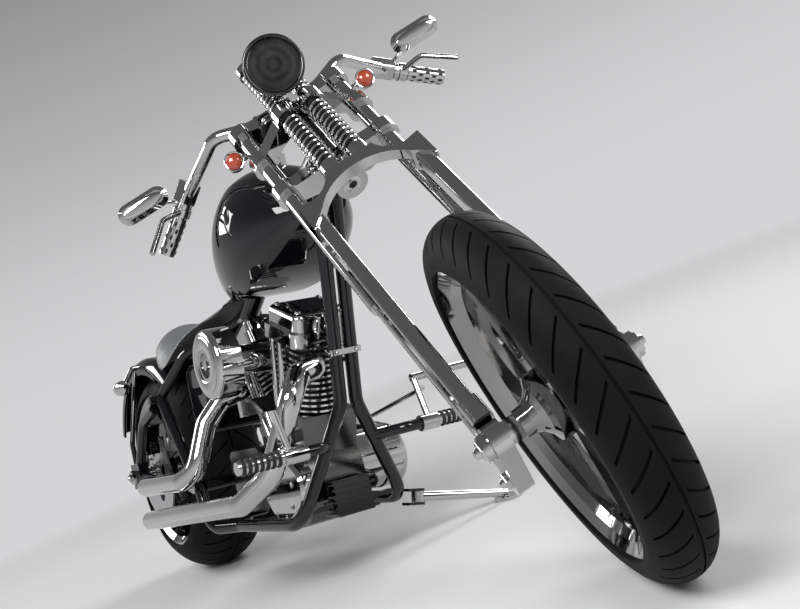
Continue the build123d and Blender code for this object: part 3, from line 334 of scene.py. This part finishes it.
# The wheels' chrome is a darker copy of the mirror chrome: a painted reflection of dark surroundings in the rims.
wheel_chrome_painted_reflection = chrome_finish("wheel_chrome_painted_reflection", 0.25, 0.33)
rim_painted_reflection = rim_painted_reflection_finish()
paint = paint_finish()
castings = casting_finish()
tyre_rubber = tyre_finish()
soft_rubber = rubber_finish()
hide_painted_sheen = leather_finish()
brake_steel = steel_finish()
soot_and_painted_shade = soot_and_painted_shade_finish()
barrel_enamel = fin_finish("barrel_enamel", False)
head_enamel = fin_finish("head_enamel", True)
amber = lamp_finish("amber_lens", (0.17, 0.018, 0.006), (0.46, 0.060, 0.016), 0.12)
red = lamp_finish("red_lens", (0.22, 0.008, 0.008), (0.55, 0.03, 0.02), 0.12)
FINISHES = {
    "black_paint": paint, "chrome": chrome, "case_alloy": castings, "black_fins": barrel_enamel,
    "tyre": tyre_rubber, "rubber": soft_rubber, "leather": hide_painted_sheen, "glass": chrome,
    "disc_steel": brake_steel,
}


def wear(piece, finish):
    """Gives a piece one finish all over."""
    piece.data.materials.clear()
    piece.data.materials.append(finish)


for part in frame["record"]["subparts"]:
    wear(nodes[part["node"]], FINISHES[part["material_slot"]])
wear(nodes["heads"], head_enamel)
wear(nodes["front_wheel"], wheel_chrome_painted_reflection)
wear(nodes["rear_wheel"], wheel_chrome_painted_reflection)


def finished(name, mesh, place, body, finish, angle=35.0):
    """Makes a bmesh a piece: placed, facing outwards, smooth up to an angle, and riding on a body."""
    bmesh.ops.transform(mesh, matrix=place, verts=mesh.verts)
    bmesh.ops.recalc_face_normals(mesh, faces=mesh.faces)
    data = bpy.data.meshes.new(name)
    mesh.to_mesh(data)
    mesh.free()
    data.shade_smooth()
    data.set_sharp_from_angle(angle=math.radians(angle))
    piece = bpy.data.objects.new(name, data)
    bpy.context.scene.collection.objects.link(piece)
    wear(piece, finish)
    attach(piece, body)
    return piece


def section(mesh, points):
    """Adds a closed run of joined vertices to spin."""
    verts = [mesh.verts.new(point) for point in points]
    return verts + [mesh.edges.new(pair) for pair in zip(verts, verts[1:] + verts[:1])]


def lathe(mesh, points, steps, axis=(0, 0, 1), centre=(0, 0, 0)):
    """Adds a closed section turned once round an axis."""
    bmesh.ops.spin(mesh, geom=section(mesh, points), cent=centre, axis=axis, angle=math.tau, steps=steps,
                   use_merge=True)


# Turned shapes close down their middle at this radius, and the ring there is then merged to a point
CORE = 0.05


def rz(pairs):
    """Points in the XZ plane from (radius, height) pairs."""
    return [(r, 0.0, z) for r, z in pairs]


# Tyres; angles run from the crown, in degrees, for a section that meets its rim at TREAD_FOOT
TREAD_FOOT = 98.0
TREAD_ANGLES = (2.2, 8, 16, 24, 32, 40, 48, 56, 64, 72, 80, 84, 88)
GROOVE_FROM, GROOVE_TO, CENTRE_STRIP = 8, 64, 2.2
GROOVE_DEPTH, STRIP_DEPTH = 5.0, 3.0
GROOVE_PAST, COLUMNS = 12, 8
RIB_FROM, RIB_TO, RIB_HIGH = 79, 86, 0.8
LIP_GAP = 0.3


def tyre(name, node, body, place, outer_r, half, lip_r, wall, pitches, sweep):
    """A road tyre with a V of grooves cut into its crown on each side of a thin middle line."""
    ring_r = outer_r - half
    drop = lip_r + LIP_GAP - ring_r
    foot = math.degrees(math.acos(drop / half))
    inner_foot = math.degrees(math.acos(drop / (half - wall)))
    scale = foot / TREAD_FOOT

    def on_arc(radius, angle):
        turn = math.radians(angle)
        return (0.0, radius * math.sin(turn), ring_r + radius * math.cos(turn))

    outer = [angle * scale for angle in TREAD_ANGLES] + [foot]
    ribs = [half + (RIB_HIGH if RIB_FROM < angle / scale < RIB_TO else 0.0) for angle in outer]
    crown = [on_arc(r, -angle) for r, angle in reversed(list(zip(ribs, outer)))]
    crown += [on_arc(r, angle) for r, angle in zip(ribs, outer)]
    lining = [on_arc(half - wall, inner_foot * step) for step in (1.0, 0.6, 0.2, -0.2, -0.6, -1.0)]
    mesh = bmesh.new()
    steps = pitches * COLUMNS
    lathe(mesh, crown + lining, steps, (0, 1, 0))
    grooves, strip = [], []
    for face in mesh.faces:
        spot = face.calc_center_median()
        far = math.hypot(spot.x, spot.z)
        if math.hypot(spot.y, far - ring_r) < half - wall / 2:
            continue
        angle = math.degrees(math.atan2(spot.y, far - ring_r)) / scale
        column = math.floor(math.atan2(spot.x, spot.z) / math.tau * steps) % COLUMNS
        if abs(angle) < CENTRE_STRIP:
            strip.append(face)
        elif GROOVE_FROM < abs(angle) < GROOVE_TO and column == (0 if angle > 0 else COLUMNS // 2):
            grooves.append(face)
    for vert in mesh.verts:
        far = math.hypot(vert.co.x, vert.co.z)
        angle = abs(math.degrees(math.atan2(vert.co.y, far - ring_r))) / scale
        lag = sweep * min(angle, GROOVE_TO + GROOVE_PAST) / GROOVE_TO
        vert.co.rotate(Matrix.Rotation(lag, 3, "Y"))
    for faces, depth in ((grooves, GROOVE_DEPTH), (strip, STRIP_DEPTH)):
        floor = bmesh.ops.extrude_face_region(mesh, geom=faces)["geom"]
        bmesh.ops.delete(mesh, geom=faces, context="FACES")
        for vert in (part for part in floor if isinstance(part, bmesh.types.BMVert)):
            hub = Vector((vert.co.x, 0, vert.co.z)).normalized() * ring_r
            vert.co -= (vert.co - hub).normalized() * depth
    built = finished(name, mesh, place, body, tyre_rubber, 30.0)
    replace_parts(built, node)


tyre("road_tyre_front", "front_tyre", "front_roller", FRONT_HUB, 343.0, 58.0, 276.0, 14.0, 40, 0.19)
tyre("road_tyre_rear", "rear_tyre", "rear_roller", REAR_HUB, 325.0, 125.0, 237.0, 14.0, 34, 0.24)

# Fork springs
SPRING_A, SPRING_B = 100.0, 32.0
COIL_R, WIRE_R, WIRE_SIDES = 19.8, 4.0, 10
COIL_RUNS = ((751.3, 942.0, 10.5), (978.0, 1158.0, 10.5))
COIL_STEPS, COIL_GAP = 28, 0.4
SLEEVE_IN_R, SLEEVE_R, SLEEVE_GAP = 9.6, 12.4, 0.5
COLLAR_R, COLLAR_HIGH, COLLAR_TAPER = 14.6, 10, 13


def coil_springs():
    """Four wound springs around dark sleeves."""
    mesh = bmesh.new()
    for low, high, turns in COIL_RUNS:
        for side in (1, -1):
            at = Vector((SPRING_A + COIL_R, SPRING_B * side, low + WIRE_R + COIL_GAP))
            stand = Matrix.Translation(at) @ Matrix.Rotation(math.pi / 2, 4, "X")
            wire = bmesh.ops.create_circle(mesh, segments=WIRE_SIDES, radius=WIRE_R, matrix=stand)
            ring = wire["verts"]
            edges = {edge for vert in ring for edge in vert.link_edges}
            steps = int(turns * COIL_STEPS)
            rise = high - low - 2 * (WIRE_R + COIL_GAP)
            bmesh.ops.spin(mesh, geom=ring + list(edges), cent=(SPRING_A, SPRING_B * side, 0),
                           axis=(0, 0, 1), dvec=(0, 0, rise / steps), angle=math.tau * turns, steps=steps)
    bmesh.ops.holes_fill(mesh, edges=mesh.edges, sides=WIRE_SIDES)
    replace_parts(finished("coil_springs", mesh, FORK, "steering", chrome), "springs")
    mesh = bmesh.new()
    for low, high, _ in COIL_RUNS:
        for side in (1, -1):
            profile = (
                (SLEEVE_IN_R, low + SLEEVE_GAP), (COLLAR_R, low + SLEEVE_GAP),
                (COLLAR_R, low + COLLAR_HIGH), (SLEEVE_R, low + COLLAR_TAPER),
                (SLEEVE_R, high - COLLAR_TAPER), (COLLAR_R, high - COLLAR_HIGH),
                (COLLAR_R, high - SLEEVE_GAP), (SLEEVE_IN_R, high - SLEEVE_GAP),
            )
            points = [(SPRING_A + r, SPRING_B * side, z) for r, z in profile]
            lathe(mesh, points, COIL_STEPS, centre=(SPRING_A, SPRING_B * side, 0))
    finished("spring_sleeves", mesh, FORK, "steering", soft_rubber)


coil_springs()

# Seat
SEAT_VOXEL, SEAT_INSET, SEAT_SWELL = 0.006, 0.004, 0.009
SEAT_FRAMES, SEAT_PRESSURE = 20, 4.0
UNDERSIDE = -0.4


def baked(piece):
    """A plain mesh of a piece as its modifiers leave it."""
    graph = bpy.context.evaluated_depsgraph_get()
    return bpy.data.meshes.new_from_object(piece.evaluated_get(graph))


def settle(piece, data):
    """Gives a piece a finished mesh in place of its modifiers."""
    piece.modifiers.clear()
    piece.data = data


def padded_seat():
    """The seat as a stuffed pad, blown up a little as cloth and held along its underside."""
    data = nodes["seat"].data.copy()
    data.transform(nodes["seat"].matrix_world)
    pad = bpy.data.objects.new("seat_pad", data)
    scene = bpy.context.scene
    scene.collection.objects.link(pad)
    voxels = pad.modifiers.new("voxels", "REMESH")
    voxels.mode = "VOXEL"
    voxels.voxel_size = SEAT_VOXEL
    settle(pad, baked(pad))
    inwards = [vert.normal * SEAT_INSET for vert in pad.data.vertices]
    held = [vert.index for vert in pad.data.vertices if vert.normal.dot(bike_up) < UNDERSIDE]
    for vert, step in zip(pad.data.vertices, inwards):
        vert.co -= step
    start = [vert.co.copy() for vert in pad.data.vertices]
    pad.vertex_groups.new(name="held").add(held, 1.0, "REPLACE")
    cloth = pad.modifiers.new("stuffing", "CLOTH")
    cloth.settings.use_pressure = True
    cloth.settings.uniform_pressure_force = SEAT_PRESSURE
    cloth.settings.vertex_group_mass = "held"
    cloth.settings.effector_weights.gravity = 0.0
    cloth.point_cache.frame_end = SEAT_FRAMES
    for number in range(1, SEAT_FRAMES + 1):
        scene.frame_set(number)
    settle(pad, baked(pad))
    scene.frame_set(1)
    for vert, was in zip(pad.data.vertices, start):
        step = vert.co - was
        vert.co = was + step * min(1.0, SEAT_SWELL / max(step.length, 1e-6))
    smooth = pad.modifiers.new("smooth", "SUBSURF")
    smooth.levels = 1
    smooth.render_levels = 1
    settle(pad, baked(pad))
    pad.data.shade_smooth()
    wear(pad, hide_painted_sheen)
    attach(pad, "chassis")
    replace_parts(pad, "seat")


padded_seat()


# Small hardware
class Hardware:
    """Bolts, nuts and rings that ride on one body and share one mesh."""

    def __init__(self):
        self.mesh = bmesh.new()

    def turned(self, place, profile, steps):
        """Adds a small turned shape given as (radius, height) pairs, closed down its middle."""
        part = bmesh.new()
        lathe(part, rz(profile), steps)
        bmesh.ops.remove_doubles(part, verts=part.verts, dist=0.06)
        self.take(part, place)

    def take(self, part, place):
        """Moves a finished shape into the shared mesh."""
        bmesh.ops.transform(part, matrix=place, verts=part.verts)
        copy = bpy.data.meshes.new("copy")
        part.to_mesh(copy)
        part.free()
        self.mesh.from_mesh(copy)
        bpy.data.meshes.remove(copy)

    def cap_bolt(self, place, radius, high):
        """A socket-head bolt on a washer."""
        washer, socket, floor = radius * 1.5, radius * 0.55, high - 2.5
        self.turned(place, [(CORE, 0), (washer, 0), (washer, 1.6), (radius, 1.8), (radius, high - 1),
                            (radius - 1, high), (socket, high), (socket - 0.2, floor), (CORE, floor)], 18)

    def slab(self, place, size, edge):
        """A flat block with rounded edges, standing on its place."""
        part = bmesh.new()
        bmesh.ops.create_cube(part, size=1.0)
        bmesh.ops.scale(part, vec=size, verts=part.verts)
        upright = [line for line in part.edges if abs(line.verts[0].co.z - line.verts[1].co.z) > 0.1]
        bmesh.ops.bevel(part, geom=upright, offset=edge, affect="EDGES", segments=4, profile=0.5,
                        material=-1)
        self.take(part, place)

    def dome(self, place, size, steps):
        """A flattened ball with three half-axes."""
        bmesh.ops.create_uvsphere(self.mesh, u_segments=steps, v_segments=steps // 2, radius=1.0,
                                  matrix=place @ Matrix.Diagonal((*size, 1.0)))

    def hex_nut(self, place, radius, high):
        """A six-sided nut with a rounded crown."""
        part = bmesh.new()
        bmesh.ops.create_cone(part, cap_ends=True, segments=6, radius1=radius, radius2=radius, depth=high,
                              matrix=Matrix.Translation((0, 0, high / 2)))
        top = [edge for edge in part.edges if all(vert.co.z > high - 0.1 for vert in edge.verts)]
        bmesh.ops.bevel(part, geom=top, offset=radius * 0.16, affect="EDGES", segments=2, profile=0.5,
                        material=-1)
        self.take(part, place)
        self.turned(place, [(CORE, high + radius * 0.55), (radius * 0.4, high + radius * 0.42),
                            (radius * 0.62, high), (CORE, high - 1)], 18)

    def done(self, name, body, finish, angle=40.0):
        return finished(name, self.mesh, Matrix.Identity(4), body, finish, angle)


# Lamps
AHEAD = Vector((math.cos(RAKE), 0, -math.sin(RAKE)))
HEAD = seat_on(FORK, (205.0, 0.0, 1002.0), AHEAD)
RIM = [(58, -5), (58, 0), (60, 3), (63, 4), (66, 2.5), (67, -1), (66.5, -7), (64.2, -9), (64.2, -1),
       (61, 0.5)]
DOME = [(57.6, -5.6), (57.6, -2.0), (52, -0.2), (50, -0.9), (44, 0.8), (42, 0.1), (34, 1.8), (32, 1.2),
        (22, 2.6), (20, 2.0), (10, 3.2), (8, 2.7), (CORE, 3.4), (CORE, -5.6)]


def headlight():
    """A rolled rim round a smoked, slightly domed lens."""
    mesh = bmesh.new()
    lathe(mesh, rz(RIM), 72)
    # The rim's dark chrome is a painted reflection of dark ground.
    finished("headlight_rim", mesh, HEAD, "steering", rim_painted_reflection, 60.0)
    mesh = bmesh.new()
    lathe(mesh, rz(DOME), 72)
    bmesh.ops.remove_doubles(mesh, verts=mesh.verts, dist=0.2)
    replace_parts(finished("headlight_glass", mesh, HEAD, "steering", headlight_finish(HEAD), 50.0),
                "headlight_lens")


SIGNAL_FRONT, SIGNAL_REAR, SIGNAL_DEEP = (20.0, 176.0, 1021.0), (30.0, 196.0, 600.0), 26.0
SIGNAL_DOME = [(CORE, 9.5), (7, 8.8), (13, 6.2), (17.5, 2.6), (19.5, -1.0), (19.5, -3.0), (CORE, -3.0)]
SIGNAL_RIM = [(18.8, -1), (19.5, 1.5), (21.5, 2.2), (23, 0.8), (23.3, -3), (22.2, -5), (22.2, -1)]


def on_side(point, side):
    """A point on the left, or its mirror image on the right."""
    return Vector((point[0], point[1] * side, point[2]))


def signals():
    """Domed lenses in thin rims on the four turn signals."""
    back = Vector((-1, 0, 0))
    fronts = [seat_on(FORK, on_side(SIGNAL_FRONT, side) + AHEAD * SIGNAL_DEEP, AHEAD) for side in (1, -1)]
    rears = [seat_on(BIKE, on_side(SIGNAL_REAR, side) + back * SIGNAL_DEEP, back) for side in (1, -1)]
    for label, body, places, tint in (
        ("front", "steering", fronts, amber), ("rear", "chassis", rears, red),
    ):
        for part, profile, finish, slot in (
            ("lenses", SIGNAL_DOME, tint, "glass"), ("rims", SIGNAL_RIM, chrome, "chrome"),
        ):
            whole = Hardware()
            for place in places:
                whole.turned(place, profile, 32)
            whole.done(f"signal_{part}_{label}", body, finish, 50.0)


headlight()
signals()

# Trims on the fork
LEG_A, LEG_B = 20.0, 124.0
CLAMP_CS, CLAMP_BOLT_A, CLAMP_BOLT_APART = (840.0, 960.0, 1077.0), -10.6, 9.0
SPRING_NUT_C, ROCKER_C = 1172.0, -26.0
AXLE_A, AXLE_NUT_OUT, ROCKER_NUT_OUT = 101.0, 29.3, 16.0
RISER_BOLT = (-4.0, 70.0, 1141.5)
CALIPER_BOLTS = ((-16.0, 96.0, 98.0), (-16.0, 96.0, 44.0))
STEM_TOP, STEM_FOOT = (0.0, 0.0, 1106.0), (0.0, 0.0, 778.0)
STEM_RING = [(9, -1), (9, 3), (10, 4), (16, 4), (19, 1.5), (22, 1.5), (22, -1)]
# Painted shade: a dark disc fills the stem ring's hole, and dark spots mark the grips' holes.
STEM_HOLE_SHADE = [(CORE, -1), (9, -1), (9, 1), (CORE, 1)]
MIRROR, MIRROR_DEEP, MIRROR_DOME = (-112.0, 404.0, 1232.0), 14.0, (56.0, 16.5, 5.0)
GRIP_TIP, GRIP_WAY, GRIP_R = (-246.0, 416.0, 1198.0), (-82.0, 120.0, -43.0), 20.0
GRIP_ROWS, GRIP_ROUND, GRIP_ROW_GAP, GRIP_HOLE_SHADE = 5, 8, 18.0, (6.8, 3.6, 0.9)


def fork_hardware():
    """Bolts and nuts of the fork, the stem's ring, the mirrors' backs, and dark discs of painted shade in the
    stem's hole and the grips' holes.
    """
    bright = Hardware()
    for side in (1, -1):
        for c in CLAMP_CS:
            for shift in (-CLAMP_BOLT_APART, CLAMP_BOLT_APART):
                spot = (CLAMP_BOLT_A, LEG_B * side, c + shift)
                bright.cap_bolt(seat_on(FORK, spot, (-1, 0, 0)), 5, 5)
        spot = (LEG_A, (LEG_B + ROCKER_NUT_OUT) * side, ROCKER_C)
        axle = (AXLE_A, (LEG_B + AXLE_NUT_OUT) * side, 0)
        bright.hex_nut(seat_on(FORK, (SPRING_A, SPRING_B * side, SPRING_NUT_C), (0, 0, 1)), 15, 9)
        bright.hex_nut(seat_on(FORK, spot, (0, side, 0), (1, 0, 0)), 17, 8)
        bright.hex_nut(seat_on(FORK, axle, (0, side, 0), (1, 0, 0)), 20, 6)
        bright.cap_bolt(seat_on(FORK, on_side(RISER_BOLT, side), (0, 0, 1)), 7, 7)
        back = on_side(MIRROR, side) + AHEAD * MIRROR_DEEP
        bright.dome(seat_on(FORK, back, AHEAD), MIRROR_DOME, 32)
    bright.hex_nut(seat_on(FORK, STEM_TOP, (0, 0, 1)), 19, 9)
    bright.turned(seat_on(FORK, STEM_FOOT, (0, 0, -1)), STEM_RING, 36)
    for spot in CALIPER_BOLTS:
        bright.cap_bolt(seat_on(FORK, spot, (0, 1, 0), (1, 0, 0)), 6, 6)
    bright.done("fork_bolts", "steering", chrome)
    # Dark rubber discs in the stem's hole and on the grips' holes are painted shade, not parts.
    hole_shades = Hardware()
    hole_shades.turned(seat_on(FORK, STEM_FOOT, (0, 0, -1)), STEM_HOLE_SHADE, 36)
    for side in (1, -1):
        tip = on_side(GRIP_TIP, side)
        way = on_side(GRIP_WAY, side).normalized()
        level = way.cross(Vector((0, 0, 1))).normalized()
        for row in range(GRIP_ROWS):
            for step in range(GRIP_ROUND):
                turn = math.tau * (step + 0.5 * (row % 2)) / GRIP_ROUND
                out = level * math.cos(turn) + way.cross(level) * math.sin(turn)
                spot = tip - way * (GRIP_ROW_GAP * row) + out * GRIP_R
                hole_shades.dome(seat_on(FORK, spot, out, way), GRIP_HOLE_SHADE, 12)
    hole_shades.done("painted_hole_shades", "steering", soft_rubber)


# Trims on the engine, the frame and the pegs
ROCKER_BOLTS = [(x, y, 439.6) for x in (-54.0, 54.0) for y in (-66.0, 46.0)]
ROCKER_BOSS, ROCKER_PANEL, PANEL_SIZE = (76.6, -10.0, 406.0), (0.0, -10.0, 441.0), (104.0, 100.0, 2.4)
CAM_FACE_Y, CAM_BOLT_R, CAM_BOLTS = -112.0, 80.0, 9
PRIMARY_FACE_Y = 221.6
# Arcs of bolts on the primary cover, as x, z, radius, first and last angle, count
PRIMARY_ARCS = ((600, 277, 68, 70, 290, 7), (855, 252, 48, -110, 110, 5))
REAR_AXLE, REAR_PIVOT = (0.0, 221.0, 325.0), (455.0, 186.0, 268.0)
BAND_AT, BAND_WAY, BAND_SIZE = (1120.3, 0.0, 520.0), (140.0, 0.0, 555.0), (78.0, 37.0, 13.0)
BAND_BOLT, BAND_BOLT_WAY = (1139.0, 26.0, 515.0), (0.97, 0.0, -0.24)
PEG_X, PEG_Z, PEG_ROOTS, PEG_RINGS, PEG_PITCH = 1132.0, 315.0, (196.0, 206.0), 7, 14.0
AIR_FACE = (853.0, -232.0, 562.0)
AIR_RING = [(40, -1), (40, 1.2), (42.5, 3), (64, 3), (70, 1), (70, -1)]
BOSS = [(CORE, 0), (29, 0), (29, 4), (26, 7), (16, 7), (14, 4.5), (6, 4.5), (4, 8), (CORE, 8)]
PIPE_TAILS = (((214, -245, 198), (930, -244, 226)), ((186, -232, 292), (520, -232, 296)))
PIPE_LINING = [(24.2, -2), (23.6, -2), (23.6, -110), (CORE, -110), (CORE, -114), (24.2, -114)]
PEG_RING = [(15.2, -4), (17.5, -3.6), (18.6, -2), (18.6, 2), (17.5, 3.6), (15.2, 4)]


def engine_hardware():
    """Bolts, nuts, bosses, the tubes' band, the rocker panels, the pipes' linings and the pegs' rings."""
    bright = Hardware()
    for bank in BANKS:
        for spot in ROCKER_BOLTS:
            bright.cap_bolt(bank @ Matrix.Translation(spot), 5.5, 5)
    for step in range(CAM_BOLTS):
        turn = math.tau * step / CAM_BOLTS
        x = CRANK[0] + CAM_BOLT_R * math.cos(turn)
        z = CRANK[2] + CAM_BOLT_R * math.sin(turn)
        bright.cap_bolt(seat_on(BIKE, (x, CAM_FACE_Y, z), (0, -1, 0), (1, 0, 0)), 4.5, 4)
    for x, z, radius, first, last, count in PRIMARY_ARCS:
        for step in range(count):
            turn = math.radians(first + (last - first) * step / (count - 1))
            spot = (x + radius * math.cos(turn), PRIMARY_FACE_Y, z + radius * math.sin(turn))
            bright.cap_bolt(seat_on(BIKE, spot, (0, 1, 0), (1, 0, 0)), 5, 5)
    for side in (1, -1):
        bright.hex_nut(seat_on(BIKE, on_side(REAR_AXLE, side), (0, side, 0), (1, 0, 0)), 11, 4)
        bright.hex_nut(seat_on(BIKE, on_side(REAR_PIVOT, side), (0, side, 0), (1, 0, 0)), 14, 7)
    for bank in BANKS:
        bright.turned(seat_on(bank, ROCKER_BOSS, (1, 0, 0)), BOSS, 40)
    bright.turned(seat_on(BIKE, AIR_FACE, (0, -1, 0), (1, 0, 0)), AIR_RING, 72)
    bright.slab(seat_on(BIKE, BAND_AT, BAND_WAY), BAND_SIZE, 3)
    for side in (1, -1):
        bright.cap_bolt(seat_on(BIKE, on_side(BAND_BOLT, side), BAND_BOLT_WAY), 3.6, 4)
    bright.done("engine_bolts", "chassis", chrome)
    dark = Hardware()
    for bank in BANKS:
        dark.slab(bank @ Matrix.Translation(ROCKER_PANEL), PANEL_SIZE, 8)
    dark.done("rocker_panels", "chassis", paint)
    # Dark linings closed about 110 mm inside the pipes' tails: soot, and painted shade deep in the pipes.
    soot_and_shade_linings = Hardware()
    for tail, before in PIPE_TAILS:
        way = Vector(tail) - Vector(before)
        soot_and_shade_linings.turned(seat_on(BIKE, tail, way), PIPE_LINING, 36)
    soot_and_shade_linings.done("pipe_soot_and_painted_shade", "chassis", soot_and_painted_shade)
    rings = Hardware()
    for side, root in zip((1, -1), PEG_ROOTS):
        for step in range(PEG_RINGS):
            spot = (PEG_X, side * (root + PEG_PITCH * (step + 1)), PEG_Z)
            rings.turned(seat_on(BIKE, spot, (0, side, 0), (1, 0, 0)), PEG_RING, 32)
    rings.done("peg_rings", "chassis", soft_rubber)


# Trims on the wheels
DISC_BOLTS = 5


def wheel_hardware():
    """Bolts of the two brake discs."""
    for name, body, place, y, way, radius in (
        ("front_wheel_bolts", "front_roller", FRONT_HUB, 72.5, 1, 44),
        ("rear_wheel_bolts", "rear_roller", REAR_HUB, -140.5, -1, 46),
    ):
        bright = Hardware()
        for step in range(DISC_BOLTS):
            turn = math.tau * (step + 0.5) / DISC_BOLTS
            spot = (radius * math.cos(turn), y, radius * math.sin(turn))
            bright.cap_bolt(seat_on(place, spot, (0, way, 0), (1, 0, 0)), 6, 6)
        bright.done(name, body, chrome)


fork_hardware()
engine_hardware()
wheel_hardware()

# Stage
FLOOR_R, FADE_FROM, FADE_TO = 14.0, 1.5, 4.4


def stage_floor():
    """A pale round floor that fades into the backdrop."""
    mesh = bmesh.new()
    bmesh.ops.create_circle(mesh, cap_ends=True, segments=96, radius=FLOOR_R)
    data = bpy.data.meshes.new("floor")
    mesh.to_mesh(data)
    mesh.free()
    floor = bpy.data.objects.new("floor", data)
    bpy.context.scene.collection.objects.link(floor)
    finish = Finish("pale_floor", Roughness=0.75, Specular_IOR_Level=0.1)
    tone = finish.colour(finish.noise(1.2), (0.53, 0.53, 0.535), (0.56, 0.56, 0.565))
    spot = finish.node("VectorMath", {"operation": "LENGTH"}, out="Value", Vector=finish.place())
    edge = finish.span(spot, 1.0, 0.0, FADE_FROM, FADE_TO)
    wear(floor, finish.feed(Base_Color=tone, Alpha=edge))


# Backdrop greys from straight down to straight up, as (height, grey)
BACKDROP = ((0.0, 0.66), (0.5, 0.66), (0.55, 0.60), (0.60, 0.46), (0.68, 0.28), (0.78, 0.18), (1.0, 0.15))
SOFT_BOXES = (
    # name, place, aim, width, height, watts
    ("key", (1.8, -2.6, 2.9), (0.3, -0.1, 0.5), 2.2, 1.4, 150),
    ("front", (3.4, 1.2, 2.4), (0.4, 0, 0.6), 1.2, 2.0, 70),
    ("left", (-0.6, 3.0, 2.6), (0, 0, 0.5), 2.4, 1.2, 90),
    ("back", (-3.0, -1.6, 2.4), (-0.4, 0, 0.5), 1.6, 1.2, 60),
)


def stage_light():
    """A pale horizon, a dim ceiling and four soft boxes."""
    world = bpy.data.worlds.new("studio")
    world.use_nodes = True
    bpy.context.scene.world = world
    tree = world.node_tree
    sky = tree.nodes["Background"]
    spot = tree.nodes.new("ShaderNodeTexCoord")
    split = tree.nodes.new("ShaderNodeSeparateXYZ")
    span = tree.nodes.new("ShaderNodeMapRange")
    span.inputs["From Min"].default_value = -1.0
    ramp = tree.nodes.new("ShaderNodeValToRGB")
    stops = ramp.color_ramp.elements
    for at, grey in BACKDROP:
        stop = stops[0] if at == 0.0 else stops[-1] if at == 1.0 else stops.new(at)
        stop.color = (grey, grey, grey * 1.02, 1.0)
    tree.links.new(spot.outputs["Generated"], split.inputs[0])
    tree.links.new(split.outputs["Z"], span.inputs["Value"])
    tree.links.new(span.outputs[0], ramp.inputs[0])
    tree.links.new(ramp.outputs[0], sky.inputs["Color"])
    for name, place, target, wide, high, watts in SOFT_BOXES:
        lamp = bpy.data.lights.new(name, "AREA")
        lamp.shape = "RECTANGLE"
        lamp.size = wide
        lamp.size_y = high
        lamp.energy = watts
        box = bpy.data.objects.new(name, lamp)
        way = Vector(target) - Vector(place)
        turn = way.to_track_quat("-Z", "Y").to_matrix().to_4x4()
        box.matrix_world = Matrix.Translation(place) @ turn
        bpy.context.scene.collection.objects.link(box)


stage_floor()
stage_light()
